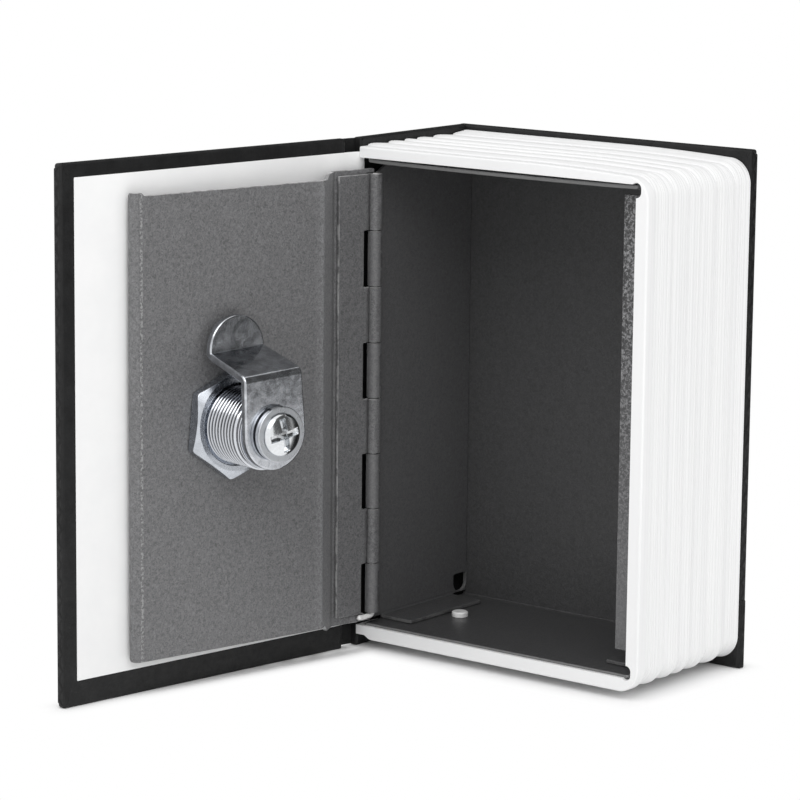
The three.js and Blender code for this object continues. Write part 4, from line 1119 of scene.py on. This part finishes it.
def make_page_block():
    """The shell of pages, hollowed from the front for the box, with a clipped round pocket in each corner."""
    piece = block_body()
    over = CUT_OVERRUN
    front, back = block_low.y - over, block_high.y + over
    rim_back = block_low.y + RIM_LIP_DEPTH
    mouth_low = inner_low + RIM_LIP_HEIGHT
    left = block_low.x - over
    ears = [cutter_box(inner_right - EAR_RADIUS, inner_right + EAR_RADIUS, front, block_low.y + EAR_DEPTH,
                       low, high, EAR_RADIUS * 0.96)
            for low, high in ((mouth_low - EAR_DROP, mouth_low + EAR_RISE + EAR_RADIUS),
                              (inner_top - EAR_RISE - EAR_RADIUS, inner_top + EAR_DROP))]
    cut(piece, [
        cutter_box(inner_left, inner_right, rim_back, back, inner_low, inner_top),
        cutter_box(left, inner_right, front, rim_back + over, mouth_low, inner_top),
        cutter_box(left, inner_left + over, front, block_low.y + SPINE_WALL_SETBACK, mouth_low, inner_top),
        cutter_box(left, inner_left + over, tab_back - SLOT_MARGIN, back, inner_low - SLOT_MARGIN,
                   side_bottom + SLOT_LIFT + SLOT_HEIGHT + SLOT_MARGIN),
        corner_cutter(),
    ] + ears)
    mesh = piece.data
    mesh.polygons.foreach_set("use_smooth", np.ones(len(mesh.polygons), bool))
    mesh.set_sharp_from_angle(angle=math.radians(38))
    round_mouth(piece)
    finish_piece(piece, "case", PLASTIC, "page_plastic", "page_block")


def round_mouth(piece):
    """Rounds the front edges of the mouth: those in the front plane that lie inside the outer outline."""
    mesh = piece.data
    points = point_places(mesh)
    ends = np.empty(len(mesh.edges) * 2, int)
    mesh.edges.foreach_get("vertices", ends)
    margin = 2.5 * BLOCK_FRONT_ROUND
    low = np.array((block_low.x - margin, block_low.y - 1e-6, block_bottom + margin))
    high = np.array((block_right - margin, block_low.y + 1e-6, block_top - margin))
    inner = np.all((points > low) & (points < high), axis=1)
    sharp = np.empty(len(mesh.edges), bool)
    mesh.attributes["sharp_edge"].data.foreach_get("value", sharp)
    weight = mesh.attributes.new("bevel_weight_edge", "FLOAT", "EDGE")
    weight.data.foreach_set("value", (np.all(inner[ends.reshape(-1, 2)], axis=1) & sharp).astype(float))
    bevelled(piece, "rounded mouth", RIM_ROUND, 3, "WEIGHT")


# Steel box
def make_tray():
    """Floor, back and top in one bent sheet, its front edges bowed in a little by the bending."""
    low, high = tray_low.z + SHEET / 2, tray_high.z - SHEET / 2
    back = tray_high.y - SHEET / 2
    line = fold_line([(tray_low.y, low), (back, low), (back, high), (tray_low.y, high)],
                     (0, BOX_BEND, BOX_BEND, 0))
    loop = rectangle(0.0, line[0][-1], tray_low.x, tray_high.x, TRAY_CORNER)

    def bowed(y, z, x):
        """Lowers the head towards its front edge, most in the middle: a squared share times a sine."""
        share = np.clip(1 - (y - tray_low.y) / TRAY_BOW_REACH, 0, 1)
        across = np.sin(math.pi * np.clip((x - tray_low.x) / (tray_high.x - tray_low.x), 0, 1)) ** 0.35
        return y, z - TRAY_BOW * share ** 2 * across * (z > (low + high) / 2), x

    piece = sheet_piece("steel_tray", [loop], line, tray_plane, SHEET, TRAY_EDGE, spacing=TRAY_SPACING,
                        warp=bowed)
    finish_piece(piece, "case", TRAY_PAINT, "grey_paint", "box_tray")


def knuckle_spans(first):
    """The lowest and highest point of every second knuckle."""
    starts = hinge_bottom + np.arange(first, KNUCKLE_COUNT, 2) * knuckle_length
    return [(max(start + KNUCKLE_GAP / 2, hinge_foot), start + knuckle_length - KNUCKLE_GAP / 2)
            for start in starts]


def comb(spans, root, tip, low, high, radius=0.0002, slant=0.0):
    """An outline from nothing to root, with a tongue out to tip at each span, and its head's corner cut on a
    slant."""
    corners = [(0.0, low)]
    for z0, z1 in spans:
        if z0 - low > 2 * radius:
            corners += [(root, low if len(corners) == 1 else corners[-1][1]), (root, z0)]
        corners += [(tip, z0), (tip, z1), (root, z1)]
    if high - corners[-1][1] > 2 * radius:
        corners += [(root, hinge_top), (root - slant, high)] if slant else [(root, high)]
    else:
        corners[-2:] = [(tip, high)]
    corners += [(0.0, high)]
    cleaned = [corner for i, corner in enumerate(corners) if i == 0 or corner != corners[i - 1]]
    return closed_loop(cleaned, radius, 5)


def make_hinge_side():
    """The left plate: tongues of its front edge, rolled round the pin, are the lower knuckle of each pair."""
    back = side_back - hinge_place[1]
    turn = np.linspace(0, SIDE_ROLL, 64)
    ring = np.stack((-roll_radius * np.cos(turn), -roll_radius * np.sin(turn)), axis=1)
    heading = np.concatenate(([-math.pi / 2], -math.pi / 2 + turn))
    line = with_length(np.vstack(([[-roll_radius, back]], ring)), heading)
    outer = comb(knuckle_spans(0), back - EDGE_RELIEF, line[0][-1], side_bottom + TAB_BEND,
                 side_top - TAB_BEND, slant=SIDE_SLANT)
    slot_low = side_bottom + SLOT_LIFT
    slot = rectangle(SEAT, TAB_BACK_INSET - SLOT_EDGE, slot_low, slot_low + SLOT_HEIGHT, SLOT_RADII)
    piece = sheet_piece("hinge_side_plate", [outer, slot], line, hinge_side_plane, rolled_sheet, SHEET_EDGE,
                        SHEET_STEP)
    finish_piece(piece, "case", SIDE_PAINT, "grey_paint", "box_hinge_side")
    side_tabs("hinge", hinge_place[0] - roll_radius, hinge_place[0] - KNUCKLE_OUTER + SHEET + TAB_WIDTH)


def side_tabs(side, wall, tip):
    """The flanges bent in from the foot and the head of a side plate."""
    for name, level, sign in (("foot", side_bottom, 1), ("head", side_top, -1)):
        height = level + sign * SHEET / 2
        line = fold_line([(wall, level + sign * TAB_BEND * 1.9), (wall, height), (tip, height)],
                         (0, TAB_BEND, 0))
        loop = rectangle(0.0, line[0][-1], tab_front, tab_back, TAB_CORNER)
        piece = sheet_piece(side + "_side_" + name, [loop], line, tab_plane, SHEET * 0.94, SHEET_EDGE)
        finish_piece(piece, "case", TAB_PAINT, "grey_paint")


def make_lock_side():
    """The right plate, its front edge bent in as the lip that the cam locks behind."""
    right = tray_high.x - SEAT - SHEET / 2
    front = block_low.y + LIP_SETBACK + SHEET / 2
    line = fold_line([(right, side_back), (right, front), (right - SHEET / 2 - LIP_REACH, front)],
                     (0, BOX_BEND, 0))
    bend, end = length_at(line, tab_front, axis=1), line[0][-1]
    low, high = side_bottom + TAB_BEND, side_top - TAB_BEND
    lip_low, lip_high = floor_top + LIP_GAP_BOTTOM, ceiling - LIP_GAP_TOP
    corners = [(0.0, low), (bend, low), (bend, lip_low), (end, lip_low), (end, lip_high), (bend, lip_high),
               (bend, high), (0.0, high)]
    loop = closed_loop(corners, LIP_CORNER, 5)
    piece = sheet_piece("lock_side_plate", [loop], line, world_plane, SHEET, SHEET_EDGE)
    finish_piece(piece, "case", LIP_PAINT, "grey_paint", "box_lock_side")
    side_tabs("lock", right, tray_high.x - SEAT - SHEET - TAB_WIDTH)


def make_rivet():
    """A round-headed rivet through the floor."""
    x, y = (rivet_low.x + rivet_high.x) / 2, (rivet_low.y + rivet_high.y) / 2
    radius = (rivet_high.x - rivet_low.x) / 2
    seat, shank, axis = floor_top + 0.00005, radius * 0.62, 0.00002
    low, high = rivet_low.z, rivet_high.z + 0.0001
    corners = [(axis, low), (radius, low), (radius, low + 0.0005), (shank, low + 0.0006), (shank, seat),
               (radius, seat), (radius, high), (axis, high)]
    radii = (0.0, 0.0002, 0.0001, 0.0001, 0.0001, 0.0001, 0.00045, 0.0)
    plane = (np.array((x, y, 0.0)), EAST, UP, NORTH)
    piece = turned_piece("floor_rivet_head", corners, radii, plane, closed=False)
    finish_piece(piece, "case", RIVET_METAL, "rivet_metal", "floor_rivet")


# Door and hinge leaf
def make_door():
    """The pressed door: a strip by the hinge, a slope up to the flat panel, and a folded free edge that
    stands up a little at its head."""
    inner_end = DOOR_PANEL_END - SHEET / 2
    line = fold_line([(DOOR_EAR_START, DOOR_STRIP_CENTRE), (DOOR_STRIP_END, DOOR_STRIP_CENTRE),
                      (DOOR_PANEL_START, DOOR_PANEL_CENTRE), (inner_end, DOOR_PANEL_CENTRE),
                      (inner_end, DOOR_PANEL_CENTRE - SHEET / 2 - DOOR_FLANGE)],
                     (0, DOOR_JOG_BEND, DOOR_JOG_BEND, DOOR_BEND, 0))
    places = (DOOR_STRIP_START, DOOR_PANEL_START - DOOR_JOG, DOOR_PANEL_END - HEM_WIDTH, LEAF_NOTCH,
              LOCK_REACH)
    strip, jog, hem, notch, lock = (length_at(line, place) for place in places)
    end = line[0][-1]
    low, high = floor_top + DOOR_PANEL_BOTTOM_GAP, ceiling - DOOR_PANEL_TOP_GAP
    strip_low, strip_high = low - DOOR_STRIP_EXTRA_LOW, high + DOOR_STRIP_EXTRA_HIGH
    ear_low, ear_high = hinge_bottom - DOOR_EAR_GAP, hinge_top + DOOR_EAR_GAP
    outline = [(0.0, strip_low), (jog - DOOR_JOG, strip_low), (jog, low), (end, low), (end, high + HEM_RISE),
               (hem, high + HEM_RISE), (hem - HEM_RISE, high), (jog, high), (jog - DOOR_JOG, strip_high),
               (0.0, strip_high), (0.0, ear_high), (strip, ear_high)]
    for z0, z1 in knuckle_spans(0)[::-1]:
        outline += [(strip, z1 + KNUCKLE_GAP), (notch, z1 + KNUCKLE_GAP), (notch, z0 - KNUCKLE_GAP),
                    (strip, z0 - KNUCKLE_GAP)]
    radii = list(DOOR_RADII) + [0.0001] * (len(outline) - len(DOOR_RADII)) + [0.0002]
    outer = closed_loop(outline + [(0.0, ear_low)], radii, 5)
    turn = full_turn(72)
    radius = THREAD_RADIUS + DOOR_HOLE_GAP
    hole = np.stack((lock + radius * np.cos(turn), LOCK_HEIGHT + radius * np.sin(turn)), axis=1)
    piece = sheet_piece("steel_door", [outer, hole], line, door_plane, SHEET, SHEET_EDGE, SHEET_STEP)
    finish_piece(piece, "door", DOOR_PAINT, "grey_paint", "door_panel")


def make_leaf():
    """The hinge leaf: a strip whose tongues slant in to a tangent of the pin's round and roll about it."""
    bend = math.hypot(LEAF_DIP_START, LEAF_CENTRE)
    meet = math.atan2(LEAF_CENTRE, LEAF_DIP_START) - math.acos(roll_radius / bend)
    touch = (roll_radius * math.cos(meet), roll_radius * math.sin(meet))
    slant, slant_turn = rounded_path([(LEAF_REACH, LEAF_CENTRE), (LEAF_DIP_START, LEAF_CENTRE), touch],
                                     (0, LEAF_DIP_RADIUS, 0))
    angle = np.linspace(meet, LEAF_TIP, 72)[1:]
    ring = np.stack((roll_radius * np.cos(angle), roll_radius * np.sin(angle)), axis=1)
    line = with_length(np.vstack((slant, ring)), np.unwrap(np.concatenate((slant_turn, angle - math.pi / 2))))
    outer = comb(knuckle_spans(1), LEAF_REACH - LEAF_NOTCH, line[0][-1], hinge_foot, hinge_top)
    piece = sheet_piece("rolled_hinge_leaf", [outer], line, door_plane, rolled_sheet, SHEET_EDGE, SHEET_STEP)
    finish_piece(piece, "door", LEAF_PAINT, "grey_paint", "door_hinge_leaf")


def make_pin():
    """The hinge pin, its foot bent along under the leaf and squashed to a rounded end."""
    low = hinge_foot - PIN_FOOT_GAP - PIN_FOOT_RADIUS
    top = hinge_top + PIN_RISE
    turn = np.linspace(0, math.pi / 2, 9)
    bend = PIN_FOOT_RADIUS * 1.05
    reach = np.concatenate((np.zeros(4), bend * (1 - np.cos(turn)),
                            np.linspace(0.0008, PIN_FOOT_LENGTH - 0.0004, 8),
                            [PIN_FOOT_LENGTH - 0.0002, PIN_FOOT_LENGTH]))
    up = np.concatenate(([top, top - 0.0001, hinge_top - 0.001, low + bend * 1.4],
                         low + bend * (1 - np.sin(turn)),
                         low - PIN_FOOT_SAG * np.sin(np.linspace(0, math.pi, 10))))
    radii = np.concatenate(([PIN_RADIUS * 0.8, PIN_RADIUS, PIN_RADIUS, PIN_RADIUS],
                            np.linspace(PIN_RADIUS * 0.95, PIN_FOOT_RADIUS, 9), np.full(8, PIN_FOOT_RADIUS),
                            [PIN_FOOT_RADIUS * 0.85, PIN_FOOT_RADIUS * 0.4]))
    piece = tube_piece("bent_hinge_pin", in_plane(door_plane, reach, 0.0, up), radii)
    finish_piece(piece, "door", RIVET_METAL, "zinc", "hinge_pin")


# Cam lock
def make_housing():
    """Head and threaded barrel: the thread is a ridge whose height follows depth less a turn's share."""
    steps = int((THREAD_END - NUT_FRONT) / THREAD_PITCH * THREAD_ROWS)
    thread = np.linspace(NUT_FRONT - 0.0002, THREAD_END, steps)
    outside = [(BORE_RADIUS, 0.0), (HEAD_RADIUS, 0.0), (HEAD_RADIUS, HEAD_BACK), (THREAD_RADIUS, HEAD_BACK)]
    outside += [(THREAD_RADIUS, depth) for depth in thread]
    outside += [(COLLAR_RADIUS, THREAD_END + 0.0003), (COLLAR_RADIUS, COLLAR_END), (BORE_RADIUS, COLLAR_END)]
    radii = [0.0003, 0.0007, 0.0002, 0.0001] + [0.0] * steps + [0.0001, 0.0002, SMALL_EDGE]

    def ridge(radius, depth, angle):
        """A triangle wave of the pitch with flat tops, faded in and out at the ends of the thread."""
        share = (depth / THREAD_PITCH - angle / (2 * math.pi)) % 1.0
        groove = np.clip(1.3 * (1 - np.abs(2 * share - 1)) - 0.3, 0, 1)
        fade = np.clip((depth - NUT_FRONT + 0.0004) / 0.0003, 0, 1)
        fade = fade * np.clip((THREAD_END - depth) / 0.0004, 0, 1)
        on_thread = (radius > COLLAR_RADIUS + 0.0001) & (radius < THREAD_RADIUS + 0.0001)
        return radius - THREAD_DEPTH * groove * fade * on_thread, depth

    piece = turned_piece("threaded_housing", outside, radii, lock_plane, 144, ridge, 70)
    # The roots' share darkens the thread's grooves: painted shade.
    mark_roots(piece)
    finish_piece(piece, "door", ZINC_THREAD, "zinc", "lock_housing")


def mark_roots(piece):
    """Marks how far each point of the thread lies below its crest, as a share of its depth."""
    reach, depth, up = np.array(lock_plane[1:]) @ (point_places(piece.data) - lock_plane[0]).T
    radius = np.hypot(reach, up)
    on_thread = (depth > NUT_FRONT - 0.0003) & (depth < THREAD_END)
    on_thread &= radius > COLLAR_RADIUS - 2 * THREAD_DEPTH
    mark(piece, "root", np.clip((THREAD_RADIUS - radius) / THREAD_DEPTH, 0, 1) * on_thread)


def make_nut():
    """A hexagon whose front corners are cut by a shallow cone round a flat ring."""
    facets = 180
    bore = THREAD_RADIUS - NUT_BORE_CUT
    profile = np.array([(bore, NUT_FRONT - 0.0007), (THREAD_RADIUS + 0.0006, NUT_FRONT),
                        (NUT_RING, NUT_FRONT), (NUT_RING + 0.0002, NUT_FRONT), (NUT_CORNER, NUT_FRONT),
                        (NUT_CORNER, NUT_BACK), (bore, NUT_BACK)])
    angle = full_turn(facets)
    hexagon = NUT_FLATS / 2 / np.cos((angle - NUT_TURN + math.pi / 6) % (math.pi / 3) - math.pi / 6)
    radius = np.minimum(profile[:, :1], np.where(profile[:, :1] > NUT_RING + 0.001, hexagon, 1.0))
    cone = np.clip(radius - NUT_RING, 0, None) * math.tan(NUT_CONE)
    depth = profile[:, 1:] - np.where(profile[:, 1:] > (NUT_FRONT + NUT_BACK) / 2, cone, 0.0)
    piece = mesh_object("hexagon_nut", round_axis(lock_plane, radius, depth, angle),
                        [grid_faces(len(profile), facets, True)], sharp_degrees=18)
    bevelled(piece, "edges", SMALL_EDGE, 2, "ANGLE").angle_limit = math.radians(28)
    finish_piece(piece, "door", ZINC_NUT, "zinc", "lock_nut")


def make_washer(name, depths, radius, hole, finish, node, edge=SMALL_EDGE):
    """A flat ring with rounded edges."""
    low, high = depths
    piece = turned_piece(name, [(hole, low), (radius, low), (radius, high), (hole, high)], edge, lock_plane)
    finish_piece(piece, "lock_barrel", finish, "zinc", node)


def make_split_washer():
    """A spring washer: a ring open at one side, its ends a little apart along the axis."""
    low, high = SPLIT_WASHER
    outer = WASHER_RADIUS - 0.0001
    section = closed_loop([(WASHER_HOLE, low), (outer, low), (outer, high), (WASHER_HOLE, high)], 0.0001, 4)
    turn = SPLIT_TURN + np.linspace(0.05, 2 * math.pi - 0.05, 110)[:, None]
    lift = np.linspace(-0.00008, 0.00008, len(turn))[:, None]
    points = round_axis(lock_plane, section[:, 0], section[:, 1] + lift, turn)
    piece = capped("spring_washer", points, len(section), sharp_degrees=50)
    finish_piece(piece, "lock_barrel", ZINC_WASHER, "zinc", "split_washer")


def make_cam():
    """The cam: a plate with a round foot and a round tip, joggled between them towards the door."""
    origin, reach, depth, up = lock_plane
    low, high = CAM_DEPTHS
    foot, tip = CAM_FOOT_RADIUS, CAM_TIP_RADIUS
    line = fold_line([(-foot, low), (CAM_BENDS[0], low), (CAM_BENDS[1], high), (CAM_TIP, high)],
                     (0, CAM_BEND_RADIUS, CAM_BEND_RADIUS, 0))
    turn = np.linspace(0, math.pi, 60)
    foot_arc = np.stack((foot - foot * np.sin(turn), foot * np.cos(turn)), axis=1)
    tip_arc = np.stack((line[0][-1] - tip + tip * np.sin(turn), -tip * np.cos(turn)), axis=1)
    square = rectangle(foot - POST_HALF, foot + POST_HALF, -POST_HALF, POST_HALF, 0.0003)
    outer = np.vstack((foot_arc, tip_arc))
    piece = sheet_piece("bent_cam", [outer, square], line, (origin, up, depth, reach), CAM_THICKNESS,
                        CAM_EDGE, step=0.0004, spacing=0.0015)
    finish_piece(piece, "lock_barrel", ZINC_CAM, "zinc", "lock_cam")


def make_screw():
    """A pan head with a cross recess: depth is a dome less a cross whose arms slope in to the middle."""
    facets = 360
    flat_end = SCREW_HEAD_RADIUS - SCREW_EDGE
    turn = np.linspace(0, math.pi / 2, 12)[1:]
    rings = np.concatenate((np.linspace(AXIS_GAP, flat_end, 90),
                            SCREW_HEAD_RADIUS - SCREW_EDGE * (1 - np.sin(turn))))
    angle = full_turn(facets)
    dome = SCREW_HEAD_HEIGHT - SCREW_DOME * np.clip(rings / SCREW_HEAD_RADIUS, 0, 1) ** 2.4
    past = (rings - SCREW_HEAD_RADIUS + SCREW_EDGE) / SCREW_EDGE
    fall = SCREW_EDGE * (1 - np.sqrt(np.maximum(1 - past ** 2, 0)))
    dome = np.where(rings > flat_end, dome - fall, dome)
    radius = rings[:, None] * np.ones(facets)
    turn = angle + SCREW_TURN
    x, y = np.abs(radius * np.cos(turn)), np.abs(radius * np.sin(turn))
    across = np.clip((RECESS_WIDTH - np.minimum(x, y)) / RECESS_WALL, 0, 1)
    along = np.clip((RECESS_SPAN - np.maximum(x, y)) / RECESS_SLOPE, 0, 1)
    recess = RECESS_DEPTH * across * along ** 0.7
    bottom = np.array([(SCREW_HEAD_RADIUS, SMALL_EDGE), (SCREW_HEAD_RADIUS - SMALL_EDGE, 0.0),
                       (SCREW_SHANK, 0.0), (SCREW_SHANK, -0.0062), (AXIS_GAP, -0.0066)])
    radius = np.vstack((radius, bottom[:, :1] * np.ones(facets)))
    depth = SCREW_SEAT + np.vstack((dome[:, None] - recess, bottom[:, 1:] * np.ones(facets)))
    piece = capped("cross_head_screw", round_axis(lock_plane, radius, depth, angle), facets, sharp_degrees=40)
    # The recess is marked for painted shade, its deeper parts darker.
    sunk = np.zeros(len(piece.data.vertices))
    sunk[:recess.size] = RECESS_PAINTED_SHADE * recess.ravel() / RECESS_DEPTH
    mark(piece, "root", sunk)
    finish_piece(piece, "lock_barrel", ZINC_SCREW, "zinc", "cam_screw")


def make_lock():
    """Every visible piece of the cam lock on its own axis."""
    make_housing()
    make_nut()
    make_washer("stop_ring", STOP_WASHER, STOP_WASHER_RADIUS, STOP_WASHER_HOLE, ZINC, "stop_washer")
    make_cam()
    make_split_washer()
    make_washer("flat_ring", FLAT_WASHER, WASHER_RADIUS, WASHER_HOLE, ZINC_WASHER, "flat_washer", RING_EDGE)
    make_screw()


def finish_plain_nodes():
    """Materials for the nodes that keep their own solids, by how their names start."""
    finishes = {"back_board": GREYBOARD, "spine_board": GREYBOARD, "front_board": GREYBOARD,
                "back_endpaper": PAPER, "lock_plug": BRASS, "wafer_spring": SPRING_STEEL, "wafer": BRASS}
    for name, node in nodes.items():
        finish = next((finishes[start] for start in finishes if name.startswith(start)), None)
        if finish:
            node.data.materials.clear()
            node.data.materials.append(finish.material)


# Studio
FLOOR_SIZE = 60.0
FLOOR_PATCH = 0.18
FLOOR_STEP = 0.0015
FLOOR_DROP = 0.00002
SHADOW_REACH = 0.0055
LAMP_AIM = (0.0, -0.02, 0.055)
CARD_AIM = in_plane(lock_plane, 0.0, LOCK_AIM_DEPTH, 0.0)


def seen_by(tree):
    """One for what the eye sees, straight or in polished metal or glass, and nothing for other light."""
    path = add_node(tree, "LightPath")
    total = path.outputs["Is Camera Ray"]
    for name in ("Is Glossy Ray", "Is Transmission Ray"):
        total = add_node(tree, "Math", {0: total, 1: path.outputs[name]}, operation="MAXIMUM").outputs[0]
    return total


def show(tree, share, plain, seen, output):
    """Shows one shader to the eye, as far as a share says, and another to other light."""
    mix = add_node(tree, "MixShader", {0: share, 1: plain, 2: seen})
    tree.links.new(mix.outputs["Shader"], tree.nodes[output].inputs["Surface"])


def from_footprint(points):
    """How far floor points lie from the covers, the block and the door, each taken as a straight bar."""
    door_end = in_plane(door_plane, np.array([0.0, DOOR_PANEL_END]), 0.0, 0.0)
    cover_end = in_plane(front_cover_plane, np.array([0.0, book_width]), COVER_THICKNESS / 2, 0.0)
    middle = (block_low.y + book_back) / 2
    block_ends = np.array(((book_left, middle, 0.0), (block_right, middle, 0.0)))
    nearest = np.full(len(points), np.inf)
    for (one, two), half in ((door_end, SHEET), (cover_end, COVER_THICKNESS / 2), (block_ends, None)):
        along = (two - one)[:2]
        share = np.clip(((points - one[:2]) @ along) / (along @ along), 0, 1)
        offset = points - one[:2] - share[:, None] * along
        if half is None:
            offset[:, 1] = np.maximum(np.abs(offset[:, 1]) - (book_back - block_low.y) / 2, 0)
            half = 0.0
        nearest = np.minimum(nearest, np.linalg.norm(offset, axis=1) - half)
    return np.maximum(nearest, 0)


def make_floor():
    """A white floor that takes the object's shadow, and further off is plain white to the eye."""
    fine = np.linspace(-FLOOR_PATCH, FLOOR_PATCH, 1 + round(2 * FLOOR_PATCH / FLOOR_STEP))
    line = np.concatenate(([-FLOOR_SIZE / 2], fine, [FLOOR_SIZE / 2]))
    flat = np.stack(np.meshgrid(line, line, indexing="ij"), axis=-1).reshape(-1, 2)
    floor = add_mesh("floor", np.column_stack((flat, np.full(len(flat), -FLOOR_DROP))),
                     grid_faces(len(line), len(line), wrap_columns=False).tolist())
    if floor.data.polygons[0].normal.z < 0:
        floor.data.flip_normals()
    mark(floor, "lit", 1 - np.clip(1 - from_footprint(flat) / SHADOW_REACH, 0, 1) ** 2)
    white = Finish("floor", 0.9, specular=0.1).feed({"Base Color": (0.96, 0.96, 0.96, 1.0)})
    glow = white.node("Emission", {"Color": (1.0, 1.0, 1.0, 1.0)})
    lit = white.node("Attribute", attribute_name="lit")
    share = white.node("Math", {0: seen_by(white.tree), 1: lit.outputs["Fac"]}, operation="MULTIPLY")
    show(white.tree, share.outputs[0], white.shader.outputs["BSDF"], glow.outputs["Emission"],
         "Material Output")
    floor.data.materials.append(white.material)


def make_world(strength):
    """An even sky for the light, and plain white behind for what the eye and polished metal see."""
    world = bpy.data.worlds.new("studio")
    world.use_nodes = True
    bpy.context.scene.world = world
    tree = world.node_tree
    white = (1.0, 1.0, 1.0, 1.0)
    light = feed(tree, tree.nodes["Background"], {"Color": white, "Strength": strength})
    seen = add_node(tree, "Background", {"Color": white, "Strength": 1.0})
    show(tree, seen_by(tree), light.outputs["Background"], seen.outputs["Background"], "World Output")


def softbox(name, azimuth, elevation, distance, size, power):
    """A square lamp."""
    data = bpy.data.lights.new(name, "AREA")
    data.shape = "SQUARE"
    data.size = size
    data.energy = power
    aimed(add_object(name, data), azimuth, elevation, distance, LAMP_AIM)


def dark_card(name, azimuth, elevation, distance, width, height, grey):
    """A dark card beside the object that only polished surfaces mirror, as on a photographer's table."""
    x, y = width / 2, height / 2
    card = add_mesh(name, [(-x, -y, 0), (x, -y, 0), (x, y, 0), (-x, y, 0)], [(0, 1, 2, 3)])
    finish = Finish(name, 0.9).feed({"Base Color": (grey, grey, grey, 1.0)})
    card.data.materials.append(finish.material)
    aimed(card, azimuth, elevation, distance, CARD_AIM)
    for ray in ("camera", "diffuse", "shadow", "transmission"):
        setattr(card, "visible_" + ray, False)


make_case()
make_joints()
make_page_block()
make_tray()
make_hinge_side()
make_lock_side()
make_rivet()
make_door()
make_leaf()
make_pin()
make_lock()
finish_plain_nodes()
make_floor()
make_world(0.84)
softbox("key_light", 50, 40, 1.3, 0.8, 3.0)
softbox("top_light", 10, 50, 1.3, 0.9, 4.1)
dark_card("card_right", 117, 26, 0.25, 0.3, 0.36, 0.08)
dark_card("card_back", 206, 37, 0.34, 0.5, 0.36, 0.1)
bpy.context.scene.view_settings.view_transform = "Standard"
